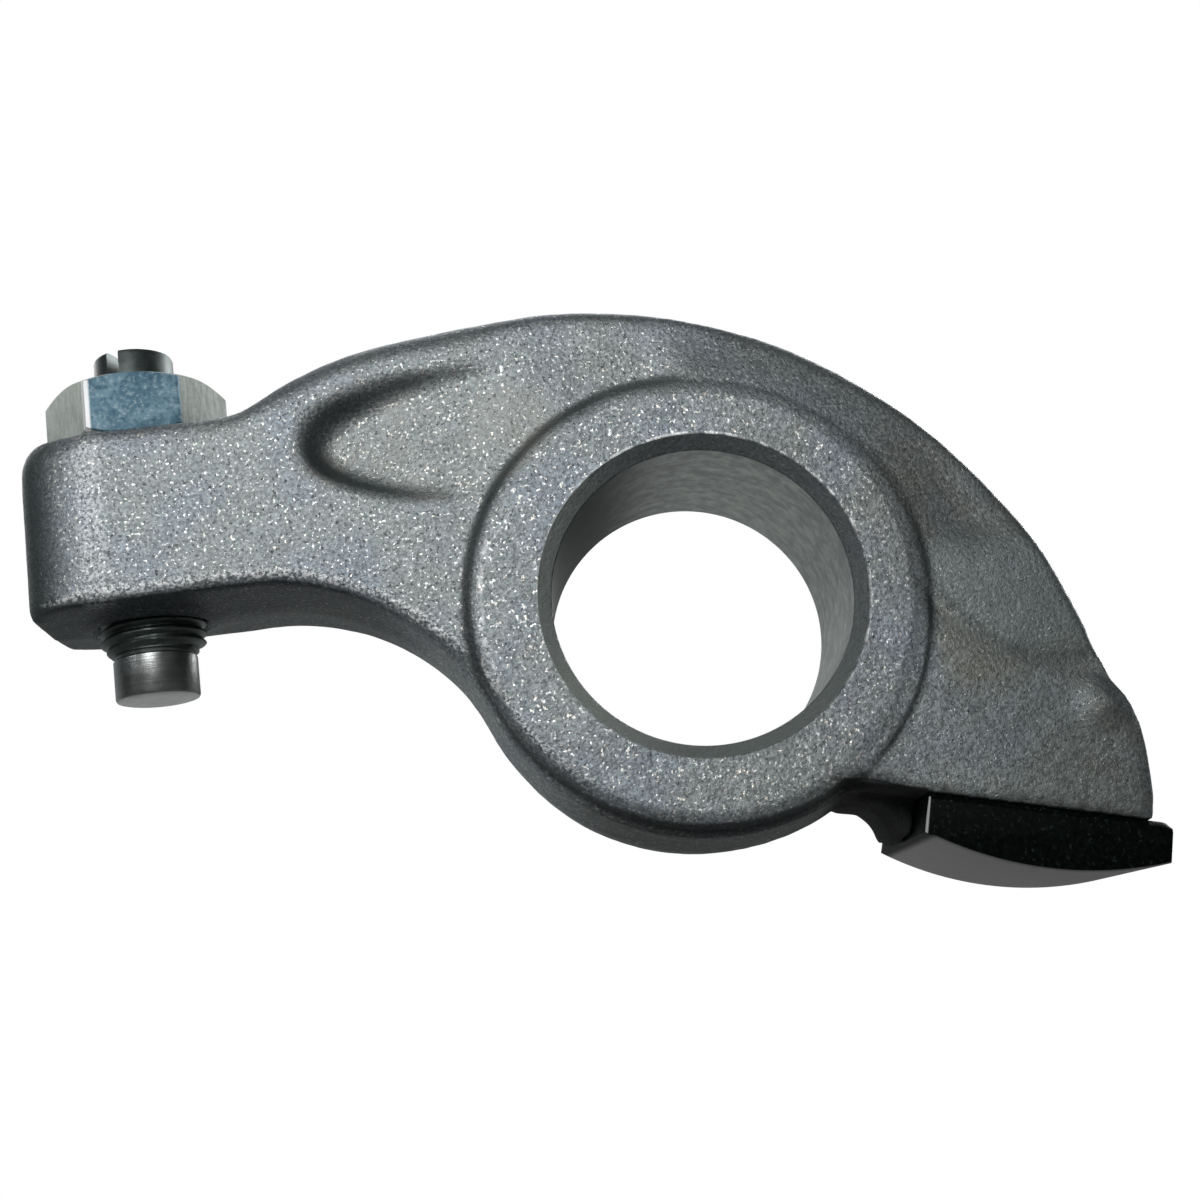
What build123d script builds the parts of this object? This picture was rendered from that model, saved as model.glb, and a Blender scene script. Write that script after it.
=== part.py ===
"""Rocker arm with a slipper pad at one end and a locked adjusting screw at the other.

Frame: origin in the middle of the shaft bore, Y along the bore axis,
Z along the adjusting screw (slotted end up), X from the screw end to the pad end.
The casting is split at the plane Y = 0 and drafted away from it both ways.
"""
import math
import os

from build123d import *

os.makedirs("parts", exist_ok=True)

# ---------------------------------------------------------------- driving sizes (mm)
BORE_D = 22.0            # shaft bore
BORE_CHAMFER = 1.0       # rough 45 degree lead-in, both ends
BOSS_WALL = 6.95         # metal round the bore at the split plane
BOSS_EDGE_R = 1.2        # rounded outer edge of the boss face
DRAFT = 4.0              # casting draft each way from the split plane, degrees
ARM_HALF = 8.1           # half width of arm, web and screw block
BOSS_STAND = 1.15        # how far the boss stands out of the arm, each side
CARRIER_STAND = 0.95     # how far the pad carrier stands out of the arm
VALLEY_R = 1.0           # soft hollow where the boss meets the arm

SCREW_X = -41.3          # adjusting screw axis
BLOCK_LEFT_X = -49.2     # free end of the screw block
BLOCK_CORNER_X = 5.0     # upright corners of the screw block, along X
BLOCK_CORNER_Y = 3.4     # and across
BLOCK_LOW_R = 0.7        # rounding round the underside of the block end
BLOCK_HIGH_R = 2.9       # and round its top
BLOCK_BOTTOM_Z = 4.35    # underside of the screw block at the split plane
BLOCK_TOP_Z = 18.85      # top of the screw block at the split plane
ARM_ROOT_R = 17.5        # hollow under the arm, tangent to block underside and boss
SEAT_DEPTH = 0.5         # depth of the spot-faced nut seat
SEAT_ROOM = 3.2          # spot face outside the nut's flats

PAD_TILT = 14.5          # fall of the pad seat towards the free end, degrees
PAD_START = (13.74, -16.25)  # seat line starts here (X, Z)
PAD_LEN = 17.4           # length along the seat
PAD_SIDE_GAP = 0.15      # pad inside the carrier's width, each side
PAD_END_T = 2.85         # thickness at its ends
PAD_FACE_R = 26.0        # ground cylindrical contact face
PAD_CORNER_R = 0.7       # upper outer edge
PAD_EDGE = 0.45          # chamfer where it meets the casting
CARRIER_REACH = 16.6     # casting along the seat, short of the pad's end
HEEL_FRONT = 4.4         # front end of the small heel against the pad

POCKET_DEPTH = 2.6       # depth of the hollow in the arm at its hinge point
POCKET_HINGE = (-28.4, 16.2)  # (X, Z)
POCKET_TILT = 10.5       # from there its floor rises, degrees
POCKET_RISE_TO = -25.0   # direction of that rise, degrees above X
STEP_RUN = 4.4           # length of the soft slope between web and carrier
STUB_AT = (27.2, -11.6)  # gate stub left on the carrier (X, Z)
STUB_R = 2.4             # radius of its rounded end
STUB_HALF = 1.0          # half its width
STUB_STAND = 0.25        # how far it stands out of the carrier

THREAD_D = 8.0           # M8 adjusting thread
THREAD_GAP = 0.03        # radial room of the screw in its tapped hole
NUT_GAP = 0.03           # radial room of the screw in its nut
HOLE_MOUTH = 0.5         # countersink at the mouths of hole and nut
NUT_WALL = 2.0           # nut wall at its flats
NUT_H = 4.85
NUT_TURN = 9.0           # turn of the nut about Z, degrees
TIP_OUT = 5.45           # pin end below the block
PIN_LEN = 3.3            # plain pin that presses on the valve
PIN_STEP = 0.85          # pin radius under the thread's
GROOVE_STEP = 1.0        # relief between pin and thread, under the thread's radius
GROOVE_W = 0.25
THREAD_LEAD = 0.4        # height of the cone from the relief up to the thread
TOP_STEP = 0.95          # slotted end radius under the thread's
THREAD_OUT = 4.05        # thread above the nut seat
TOP_OUT = 7.95           # slotted end above the nut seat
SCREW_CHAMFER = 0.3
SLOT_W = 1.0
SLOT_DEPTH = 2.0
SLOT_TURN = -19.0        # slot direction about Z, from the bore axis

# ---------------------------------------------------------------- derived sizes
BORE_R = BORE_D / 2
BOSS_R = BORE_R + BOSS_WALL
BOSS_HALF = ARM_HALF + BOSS_STAND
CARRIER_HALF = ARM_HALF + CARRIER_STAND
PAD_HALF = CARRIER_HALF - PAD_SIDE_GAP
SEAT_Z = BLOCK_TOP_Z - SEAT_DEPTH
THREAD_R = THREAD_D / 2
NUT_FLAT_R = THREAD_R + NUT_WALL
HAIR = 0.02              # sideways growth that keeps two faces from lying on each other
THROUGH = 60.0           # long enough to cut right through
tan_draft = math.tan(math.radians(DRAFT))
seat_cos = math.cos(math.radians(PAD_TILT))
seat_sin = math.sin(math.radians(PAD_TILT))


def along_seat(u, v=0.0):
    """Point u along the pad seat and v above it, in X and Z."""
    return (PAD_START[0] + u * seat_cos + v * seat_sin, PAD_START[1] - u * seat_sin + v * seat_cos)


# ---------------------------------------------------------------- casting outline
root_c = (0.0, BLOCK_BOTTOM_Z + 0.2 - ARM_ROOT_R)
root_c = (-math.sqrt((ARM_ROOT_R + BOSS_R) ** 2 - root_c[1] ** 2), root_c[1])
root_k = BOSS_R / (ARM_ROOT_R + BOSS_R)
root_end = (root_c[0] * root_k, root_c[1] * root_k)
root_a = math.atan2(root_end[1] - root_c[1], root_end[0] - root_c[0])
root_arc = [
    (root_c[0] + ARM_ROOT_R * math.cos(a), root_c[1] + ARM_ROOT_R * math.sin(a))
    for a in (root_a, (root_a + math.pi / 2) / 2, math.pi / 2)
]

block_far = BLOCK_LEFT_X - 3.0
crown = [
    (-33.8, BLOCK_TOP_Z), (-30.9, 19.95), (-27.6, 21.6), (-23.7, 22.8), (-18.0, 23.6), (-13.0, 23.95),
    (-9.2, 24.0), (-5.0, 23.65), (-0.6, 22.8), (4.2, 21.2), (8.7, 19.2), (13.2, 16.25), (17.3, 12.7),
    (20.9, 8.6), (23.8, 4.4), (26.0, -0.1), (27.6, -5.0), (28.6, -9.7),
]
carrier_edge = [crown[-1], (29.8, -11.9), (30.35, -14.9), along_seat(CARRIER_REACH, 2.0)]
heel = [(12.15, -18.95), (12.0, -17.4), (11.2, -16.45), (9.4, -16.1)]
inside_boss = (-8.0, -2.0)
carrier_low = along_seat(CARRIER_REACH, -2.1)

# rounding of the rim of both faces, by X, above and below
rim_above = [(-52.0, 1.0), (-36.0, 1.2), (-29.0, 2.1), (-16.0, 2.1), (-8.0, 1.2), (17.0, 0.8), (31.0, 0.7)]
RIM_BELOW = 0.6
RIM_DEPTHS = (0.0, 0.06, 0.25, 0.6, 1.1, 2.1)

# kind of each run of the outline, clockwise with X right and Z up
runs = [
    ("line", [inside_boss, root_arc[0]]),
    ("arc", root_arc),
    ("line", [root_arc[2], (block_far, BLOCK_BOTTOM_Z)]),
    ("line", [(block_far, BLOCK_BOTTOM_Z), (block_far, BLOCK_TOP_Z)]),
    ("line", [(block_far, BLOCK_TOP_Z), crown[0]]),
    ("spline", crown),
    ("spline", carrier_edge),
    ("line", [carrier_edge[-1], carrier_low]),
    ("line", [carrier_low, heel[0]]),
    ("spline", heel),
    ("line", [heel[-1], inside_boss]),
]


def run_tangents(kind, pts):
    """Unit travel direction at every point of a run."""
    out = []
    for i in range(len(pts)):
        a = pts[max(i - 1, 0)]
        b = pts[min(i + 1, len(pts) - 1)]
        dx, dz = b[0] - a[0], b[1] - a[1]
        if kind == "arc":
            dx, dz = -(pts[i][1] - root_c[1]), pts[i][0] - root_c[0]
        n = math.hypot(dx, dz)
        out.append((dx / n, dz / n))
    if pts is crown:
        out[0] = (1.0, 0.0)
        out[-1] = (0.26, -0.966)
    if pts is carrier_edge:
        out[0] = (0.6, -0.8)
        out[-1] = (0.0, -1.0)
    return out


tangents = [run_tangents(kind, pts) for kind, pts in runs]


def rim_radius(p):
    """Radius of the face rim at an outline point."""
    if p in root_arc or p == (block_far, BLOCK_BOTTOM_Z):
        return RIM_BELOW
    x = min(max(p[0], rim_above[0][0]), rim_above[-1][0])
    for (x0, r0), (x1, r1) in zip(rim_above, rim_above[1:]):
        if x <= x1:
            return r0 + (r1 - r0) * (x - x0) / (x1 - x0)
    return RIM_BELOW


def rim_inset(depth, radius):
    """How far the rounded rim has drawn in at a depth under the face."""
    rest = max(radius - depth, 0.0)
    return radius - math.sqrt(radius ** 2 - rest ** 2)


def inset_point(p, t0, t1, d):
    """Move a point inwards by d from both travel directions."""
    n0 = (-t0[1], t0[0])
    n1 = (-t1[1], t1[0])
    k = d / (1 + n0[0] * n1[0] + n0[1] * n1[1])
    return (p[0] - k * (n0[0] + n1[0]), p[1] - k * (n0[1] + n1[1]))


def outline_wire(y, half, grow):
    """Casting outline in the plane Y = y of a plate of that half width, drafted and rounded."""
    edges = []
    for i, (kind, pts) in enumerate(runs):
        t = tangents[i]
        last = len(pts) - 1
        v = []
        for j, p in enumerate(pts):
            t_in = tangents[i - 1][-1] if j == 0 else t[j]
            t_out = tangents[(i + 1) % len(runs)][0] if j == last else t[j]
            d = rim_inset(half - abs(y), rim_radius(p)) + abs(y) * tan_draft - grow
            x, z = inset_point(p, t_in, t_out, d)
            v.append(Vector(x, y, z))
        if kind == "line":
            edges.append(Edge.make_line(v[0], v[1]))
        elif kind == "arc":
            edges.append(Edge.make_three_point_arc(v[0], v[1], v[2]))
        else:
            ends = [Vector(t[0][0], 0, t[0][1]), Vector(t[-1][0], 0, t[-1][1])]
            edges.append(Edge.make_spline(v, tangents=ends))
    return Wire(edges)


def outline_solid(half, grow=0.0):
    """Drafted plate with rounded face rims, grown sideways by a hair if asked."""
    front = [-(half - depth) for depth in RIM_DEPTHS]
    levels = front + [0.0] + [-y for y in reversed(front)]
    return Solid.make_loft([outline_wire(y, half, grow) for y in levels], ruled=True)


# ---------------------------------------------------------------- casting: arm, web and screw block
arm = outline_solid(ARM_HALF)
block_w = ARM_HALF + HAIR
with BuildSketch(Plane.XY) as block_sketch:
    with BuildLine():
        Polyline([(BLOCK_CORNER_X, -block_w), (THROUGH, -block_w), (THROUGH, block_w), (BLOCK_CORNER_X, block_w)])
        EllipticalCenterArc(
            (BLOCK_CORNER_X, block_w - BLOCK_CORNER_Y), BLOCK_CORNER_X, BLOCK_CORNER_Y, start_angle=90, arc_size=90
        )
        Line((0, block_w - BLOCK_CORNER_Y), (0, BLOCK_CORNER_Y - block_w))
        EllipticalCenterArc(
            (BLOCK_CORNER_X, BLOCK_CORNER_Y - block_w), BLOCK_CORNER_X, BLOCK_CORNER_Y, start_angle=180, arc_size=90
        )
    make_face()
block_plan = extrude(block_sketch.sketch, BLOCK_TOP_Z - BLOCK_BOTTOM_Z + 2 * HAIR)
block_plan = fillet(block_plan.faces().sort_by(Axis.Z)[-1].outer_wire().edges(), BLOCK_HIGH_R)
block_plan = fillet(block_plan.faces().sort_by(Axis.Z)[0].outer_wire().edges(), BLOCK_LOW_R)
block_plan = Pos(BLOCK_LEFT_X, 0, BLOCK_BOTTOM_Z - HAIR) * block_plan
zone_w = BLOCK_CORNER_X + 15
block_zone = Box(zone_w, 30, 40, align=(Align.MAX, Align.CENTER, Align.CENTER))
block_zone = Pos(BLOCK_LEFT_X + BLOCK_CORNER_X, 0, (BLOCK_BOTTOM_Z + BLOCK_TOP_Z) / 2) * block_zone
arm = arm - (block_zone - block_plan)

# ---------------------------------------------------------------- casting: pad carrier, a little wider than the web
step_line = [
    (8.0, 6.0), (14.6, 1.6), (16.4, -0.3), (17.4, -1.9), (18.2, -3.7), (19.3, -5.0), (21.2, -6.2), (24.5, -7.4),
    (28.0, -8.5), (33.0, -9.6),
]
zone_far = [(33.0, -30.0), (8.0, -30.0)]
STEP_SLOPE = (0.45, 0.89)    # direction in which the slope falls back, X and Z


def carrier_wire(y, back):
    """Edge of the carrier's zone at one height of its soft slope."""
    pts = [Vector(x - STEP_SLOPE[0] * back, y, z - STEP_SLOPE[1] * back) for x, z in step_line]
    far = [Vector(x, y, z) for x, z in zone_far]
    return Wire([
        Edge.make_spline(pts),
        Edge.make_line(pts[-1], far[0]),
        Edge.make_line(far[0], far[1]),
        Edge.make_line(far[1], pts[0]),
    ])


front_levels = [(ARM_HALF - 0.3, -STEP_RUN / 2 - 1.0)]
for share in (0.06, 0.15, 0.3, 0.5, 0.7, 0.85, 0.96):
    run = STEP_RUN * (math.acos(1 - 2 * share) / math.pi - 0.5)
    front_levels.append((ARM_HALF + CARRIER_STAND * share, run))
front_levels.append((CARRIER_HALF + 0.3, STEP_RUN / 2 + 1.0))
carrier_levels = [(-y, back) for y, back in reversed(front_levels)] + front_levels
carrier_zone = Solid.make_loft([carrier_wire(y, back) for y, back in carrier_levels], ruled=True)
carrier = outline_solid(CARRIER_HALF, HAIR) & carrier_zone
casting = arm + carrier

# ---------------------------------------------------------------- casting: bore boss and its skirt
wall_r = BOSS_R - (BOSS_HALF - BOSS_EDGE_R) * tan_draft
edge_q = BOSS_EDGE_R * (1 - math.sqrt(0.5))
with BuildSketch(Plane.XY) as boss_profile:
    with BuildLine():
        Polyline([(0, -BOSS_HALF), (wall_r - BOSS_EDGE_R, -BOSS_HALF)])
        ThreePointArc(
            (wall_r - BOSS_EDGE_R, -BOSS_HALF),
            (wall_r - edge_q, -BOSS_HALF + edge_q),
            (wall_r, -BOSS_HALF + BOSS_EDGE_R),
        )
        Polyline([(wall_r, -BOSS_HALF + BOSS_EDGE_R), (BOSS_R, 0), (0, 0), (0, -BOSS_HALF)])
    make_face()
boss_half = revolve(boss_profile.sketch, Axis.Y)
boss = boss_half + mirror(boss_half, Plane.XZ)
casting = casting + boss

foot_r = BOSS_R - ARM_HALF * tan_draft
valley_profile = [(foot_r - 3.0, -ARM_HALF + 0.5), (foot_r - 3.0, -ARM_HALF - VALLEY_R), (foot_r, -ARM_HALF - VALLEY_R)]
for a in (20, 40, 60, 75, 90):
    angle = math.radians(a)
    valley_profile.append((foot_r + VALLEY_R * (1 - math.cos(angle)), -ARM_HALF - VALLEY_R * (1 - math.sin(angle))))
valley_profile.append((foot_r + VALLEY_R, -ARM_HALF + 0.5))
with BuildSketch(Plane.XY) as valley_sketch:
    Polygon(*valley_profile, align=None)
valley = revolve(valley_sketch.sketch, Axis.Y)
valley = valley & outline_solid(BOSS_HALF, HAIR)
casting = casting + valley + mirror(valley, Plane.XZ)

bore = Cylinder(BORE_R, THROUGH, rotation=(90, 0, 0))
casting = casting - bore
for side in (-1, 1):
    cone = Cone(BORE_R + BORE_CHAMFER + 0.5, BORE_R - 0.5, BORE_CHAMFER + 1.0, rotation=(90 * side, 0, 0))
    casting = casting - Pos(0, side * (BOSS_HALF - BORE_CHAMFER / 2), 0) * cone

# ---------------------------------------------------------------- casting: pad seat and heel
toe = [along_seat(-6.5, -0.2), along_seat(0.5, -0.2), along_seat(0.5, 1.8), along_seat(-6.5, 1.8)]
with BuildSketch(Plane.XZ.offset(HEEL_FRONT)) as toe_sketch:
    Polygon(*toe, align=None)
casting = casting + extrude(toe_sketch.sketch, CARRIER_HALF - HEEL_FRONT)
seat_reach = 12.0
seat_cut = [along_seat(0, 0), along_seat(30, 0), along_seat(30, -seat_reach), along_seat(0, -seat_reach)]
with BuildSketch(Plane.XZ) as seat_sketch:
    Polygon(*seat_cut, align=None)
casting = casting - extrude(seat_sketch.sketch, THROUGH, both=True)
heel_cut = [along_seat(-4.5, 0), along_seat(0.1, 0), along_seat(0.1, -seat_reach), along_seat(-4.5, -seat_reach)]
with BuildSketch(Plane.XZ) as heel_sketch:
    Polygon(*heel_cut, align=None)
heel_slab = extrude(heel_sketch.sketch, THROUGH)
casting = casting - Pos(0, -HEEL_FRONT, 0) * heel_slab

# ---------------------------------------------------------------- casting: hollow in the arm, both faces
# edge of the hollow on the arm face (X, Z), each with the full width of its rounded wall
pocket_edge = [
    (-28.2, 15.3, 2.6), (-27.6, 17.0, 2.6), (-26.1, 18.2, 2.8), (-23.6, 19.1, 3.2), (-20.8, 19.7, 3.4),
    (-17.8, 19.9, 3.4), (-14.0, 19.8, 3.4), (-9.5, 18.4, 3.0), (-7.5, 15.0, 2.6), (-9.0, 10.8, 2.6),
    (-13.2, 9.8, 2.6), (-17.0, 9.75, 2.6), (-20.8, 10.2, 2.6), (-23.8, 11.1, 2.6), (-26.3, 12.3, 2.6),
    (-27.8, 13.7, 2.6),
]
POCKET_LIP = 0.12        # share of the wall's wave left off at the edge
lip_drop = (1 - math.cos(math.pi * POCKET_LIP)) / 2
rise = math.radians(POCKET_RISE_TO)


def pocket_drop(share):
    """Depth of the rounded wall at a share of its width, as a share of the full depth."""
    return ((1 - math.cos(math.pi * share)) / 2 - lip_drop) / (1 - lip_drop)


def pocket_share(x, z):
    """Share of the wall's width that the floor's rise takes away at a point."""
    up = (x - POCKET_HINGE[0]) * math.cos(rise) + (z - POCKET_HINGE[1]) * math.sin(rise)
    lost = min(max(up * math.tan(math.radians(POCKET_TILT)) / POCKET_DEPTH, 0.0), 0.98)
    return math.acos(1 - 2 * (lost * (1 - lip_drop) + lip_drop)) / math.pi


def pocket_wire(share):
    """Closed smooth loop of the hollow at a share of its wall."""
    n = len(pocket_edge)
    depth = POCKET_DEPTH * pocket_drop(share)
    pts = []
    for i, (x, z, width) in enumerate(pocket_edge):
        a, b = pocket_edge[i - 1], pocket_edge[(i + 1) % n]
        dx, dz = b[0] - a[0], b[1] - a[1]
        k = width * (share - pocket_share(x, z)) / math.hypot(dx, dz)
        pts.append(Vector(x + k * dz, -ARM_HALF + depth, z - k * dx))
    return Wire([Edge.make_spline(pts, periodic=True)])


def pocket_mouth(loop):
    """The outermost loop, repeated in front of the arm face."""
    return loop.moved(Location((0, -3 * POCKET_DEPTH, 0)))


pocket_loops = [pocket_wire(share) for share in (POCKET_LIP, 0.24, 0.36, 0.48, 0.6, 0.72, 0.84, 0.96)]
pocket = Solid.make_loft([pocket_mouth(pocket_loops[0])] + pocket_loops, ruled=True)
hinge = Axis((POCKET_HINGE[0], -ARM_HALF, POCKET_HINGE[1]), (math.sin(rise), 0, -math.cos(rise)))
pocket = pocket.rotate(hinge, POCKET_TILT)
pocket = pocket - Cylinder(BOSS_R + 0.1, THROUGH, rotation=(90, 0, 0))
casting = casting - pocket - mirror(pocket, Plane.XZ)

# ---------------------------------------------------------------- casting: tapped hole, nut seat, gate stub
hole_r = THREAD_R + THREAD_GAP
block_mid = (BLOCK_BOTTOM_Z + BLOCK_TOP_Z) / 2
casting = casting - Pos(SCREW_X, 0, block_mid) * Cylinder(hole_r, 40)
mouth = Cone(hole_r + HOLE_MOUTH + 1.0, hole_r, HOLE_MOUTH + 1.0, align=(Align.CENTER, Align.CENTER, Align.MIN))
casting = casting - Pos(SCREW_X, 0, BLOCK_BOTTOM_Z - 1.0) * mouth
spot = Cylinder(NUT_FLAT_R + SEAT_ROOM, 10, align=(Align.CENTER, Align.CENTER, Align.MIN))
casting = casting - Pos(SCREW_X, 0, SEAT_Z) * spot
stub = Sphere(STUB_R) & Cylinder(STUB_HALF, 2 * STUB_R, rotation=(90, 0, 0))
casting = casting + Pos(STUB_AT[0], -CARRIER_HALF + STUB_R - STUB_STAND, STUB_AT[1]) * stub

# ---------------------------------------------------------------- slipper pad
mid_u = PAD_LEN / 2
face_drop = PAD_FACE_R - math.sqrt(PAD_FACE_R ** 2 - mid_u ** 2)
low_left = along_seat(0, -PAD_END_T)
low_right = along_seat(PAD_LEN, -PAD_END_T)
with BuildSketch(Plane.XZ) as pad_sketch:
    with BuildLine():
        Polyline([low_left, along_seat(0, 0), along_seat(PAD_LEN, 0), low_right])
        ThreePointArc(low_right, along_seat(mid_u, -PAD_END_T - face_drop), low_left)
    make_face()
pad = extrude(pad_sketch.sketch, PAD_HALF, both=True)
seat_end = along_seat(PAD_LEN, 0)
pad = fillet(pad.edges().filter_by(Axis.Y).sort_by_distance(Vector(seat_end[0], 0, seat_end[1]))[0], PAD_CORNER_R)
seat_middle = Vector(along_seat(mid_u, 0)[0], 0, along_seat(mid_u, 0)[1])
long_lines = [e for e in pad.edges() if e.geom_type == GeomType.LINE and abs(abs(e.center().Y) - PAD_HALF) < 0.01]
upper = sorted(long_lines, key=lambda e: (e.center() - seat_middle).length)[:2]
pad = chamfer(upper, PAD_EDGE)

# ---------------------------------------------------------------- adjusting screw
tip_z = BLOCK_BOTTOM_Z - TIP_OUT
pin_top = tip_z + PIN_LEN
thread_start = pin_top + GROOVE_W
thread_end = SEAT_Z + THREAD_OUT
top_z = SEAT_Z + TOP_OUT
r_tip, r_groove, r_top = THREAD_R - PIN_STEP, THREAD_R - GROOVE_STEP, THREAD_R - TOP_STEP
c = SCREW_CHAMFER
screw_profile = [
    (0, tip_z), (r_tip - c, tip_z), (r_tip, tip_z + c), (r_tip, pin_top - 0.15), (r_groove, pin_top),
    (r_groove, thread_start), (THREAD_R, thread_start + THREAD_LEAD), (THREAD_R, thread_end - TOP_STEP),
    (r_top, thread_end), (r_top, top_z - c), (r_top - c, top_z), (0, top_z),
]
with BuildSketch(Plane.XZ) as screw_sketch:
    Polygon(*screw_profile, align=None)
screw = revolve(screw_sketch.sketch, Axis.Z)
slot = Box(SLOT_W, 20, 2 * SLOT_DEPTH, rotation=(0, 0, SLOT_TURN))
screw = Pos(SCREW_X, 0, 0) * (screw - Pos(0, 0, top_z) * slot)

# ---------------------------------------------------------------- lock nut
nut_corner_r = 2 * NUT_FLAT_R / math.sqrt(3)
nut_chamfer_r = NUT_FLAT_R - 0.1
nut_out = nut_corner_r + 0.5
nut_slope = (nut_out - nut_chamfer_r) * math.tan(math.radians(30))
with BuildSketch(Plane.XY) as nut_sketch:
    RegularPolygon(nut_corner_r, 6)
nut = extrude(nut_sketch.sketch, NUT_H)
nut_turned = [
    (0, 0), (nut_chamfer_r, 0), (nut_out, nut_slope), (nut_out, NUT_H - nut_slope), (nut_chamfer_r, NUT_H), (0, NUT_H),
]
with BuildSketch(Plane.XZ) as nut_cone:
    Polygon(*nut_turned, align=None)
nut = nut & revolve(nut_cone.sketch, Axis.Z)
nut_hole_r = THREAD_R + NUT_GAP
nut = nut - Pos(0, 0, NUT_H / 2) * Cylinder(nut_hole_r, 2 * NUT_H)
half_mouth = HOLE_MOUTH / 2
nut = nut - Pos(0, 0, half_mouth) * Cone(nut_hole_r + HOLE_MOUTH, nut_hole_r, HOLE_MOUTH)
nut = nut - Pos(0, 0, NUT_H - half_mouth) * Cone(nut_hole_r, nut_hole_r + HOLE_MOUTH, HOLE_MOUTH)
nut = Pos(SCREW_X, 0, SEAT_Z) * Rot(0, 0, NUT_TURN) * nut

pieces = (("rocker_arm", casting), ("slipper_pad", pad), ("adjusting_screw", screw), ("lock_nut", nut))
for name, solid in pieces:
    export_step(solid, "parts/" + name + ".step")
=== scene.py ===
"""Looks of a cast rocker arm: metal finishes, turned screw, plated nut, ground pad and a plain stage.

The file is laid out as an add-on and is run as a script. Lengths are metres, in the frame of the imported
model: origin in the middle of the shaft bore, Y along the bore, Z along the adjusting screw. The materials
and the moulded skin measure in millimetres.
"""

import math
from types import SimpleNamespace

import bmesh
import bpy
from mathutils import Matrix, Vector


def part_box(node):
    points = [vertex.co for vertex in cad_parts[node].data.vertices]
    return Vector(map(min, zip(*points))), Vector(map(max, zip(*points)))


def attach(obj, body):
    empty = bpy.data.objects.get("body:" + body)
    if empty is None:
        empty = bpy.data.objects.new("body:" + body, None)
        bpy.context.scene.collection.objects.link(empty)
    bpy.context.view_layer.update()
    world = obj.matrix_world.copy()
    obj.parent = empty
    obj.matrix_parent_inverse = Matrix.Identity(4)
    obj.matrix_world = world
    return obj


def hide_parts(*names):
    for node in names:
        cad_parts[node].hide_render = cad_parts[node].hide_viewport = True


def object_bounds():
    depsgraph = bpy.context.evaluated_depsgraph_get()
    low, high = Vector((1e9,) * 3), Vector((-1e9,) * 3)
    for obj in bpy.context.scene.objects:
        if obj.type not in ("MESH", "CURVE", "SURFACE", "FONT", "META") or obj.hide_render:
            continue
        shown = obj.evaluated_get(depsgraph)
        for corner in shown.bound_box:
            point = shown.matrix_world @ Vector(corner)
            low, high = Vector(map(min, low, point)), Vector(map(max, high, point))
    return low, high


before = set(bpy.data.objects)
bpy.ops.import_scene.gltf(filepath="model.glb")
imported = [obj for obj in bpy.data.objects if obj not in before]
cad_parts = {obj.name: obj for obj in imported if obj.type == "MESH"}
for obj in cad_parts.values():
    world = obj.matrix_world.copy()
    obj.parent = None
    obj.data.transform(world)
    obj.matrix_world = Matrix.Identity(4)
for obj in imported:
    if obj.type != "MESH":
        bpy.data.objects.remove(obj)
CAD_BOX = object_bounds()

bl_info = {
    "name": "Rocker arm finishes",
    "version": (1, 0, 0),
    "blender": (4, 5, 0),
    "location": "View3D > Sidebar > Rocker Arm",
    "description": "Builds the pieces of a rocker arm and gives every surface its finish",
    "category": "Object",
}

MM = 0.001
PER_MM = (1 / MM,) * 3
SCREW_LOW, SCREW_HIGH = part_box("adjusting_screw")
NUT_LOW, NUT_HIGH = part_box("lock_nut")
AXIS_X = (SCREW_LOW.x + SCREW_HIGH.x) / 2
THREAD_R = (SCREW_HIGH.x - SCREW_LOW.x) / 2

# sizes of the casting and places on it that its skin and marks have to know, in millimetres, as (x, z)
BORE_R = 11.0
CHAMFER_R = 12.0
BOSS_R = 17.4
BOSS_HALF = 9.25
ARM_HALF = 8.1
BLOCK_LOW_Z = 4.35
END_X = -43.5  # where the free end starts to round over
HOLE_R = 4.03
HOLE_MOUTH = 0.5
SEAT_Z = 18.35
SEAT_R = 9.2
POCKET_AT = (-18.5, 14.8)
POCKET_REACH = (11.5, 6.0)
CARRIER_TURN = math.radians(30)  # the carrier leaves the ring within this angle of X, above and below
STEP_AT = (26.85, 2.93)  # centre of the arc along which the carrier steps down
STEP_R = 10.92
STUB_AT = (27.2, -11.6)
HEEL_X = (6.4, 14.2)  # hollow between the ring and the pad
PAD_TILT = math.radians(14.5)
PAD_START = (13.74, -16.25)


def seat_point(along, above=0.0):
    """Point of the pad seat line in millimetres: along it, and above it into the casting."""
    c, s = math.cos(PAD_TILT), math.sin(PAD_TILT)
    return (PAD_START[0] + along * c + above * s, PAD_START[1] - along * s + above * c)


def shelf_height(across, below):
    """Height of the line that runs that far below the pad seat, in millimetres."""
    return PAD_START[1] - (across - PAD_START[0]) * math.tan(PAD_TILT) - below / math.cos(PAD_TILT)


# ---------------- node trees written as expressions
class Value:
    """A socket that Python arithmetic works on: each operator adds its Math node."""

    def __init__(self, graph, socket):
        self.graph = graph
        self.socket = socket

    def __add__(self, other):
        return self.graph.math("ADD", self, other)

    def __sub__(self, other):
        return self.graph.math("SUBTRACT", self, other)

    def __rsub__(self, other):
        return self.graph.math("SUBTRACT", other, self)

    def __mul__(self, other):
        return self.graph.math("MULTIPLY", self, other)

    def __truediv__(self, other):
        return self.graph.math("DIVIDE", self, other)

    def __rtruediv__(self, other):
        return self.graph.math("DIVIDE", other, self)

    __radd__ = __add__
    __rmul__ = __mul__


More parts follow.
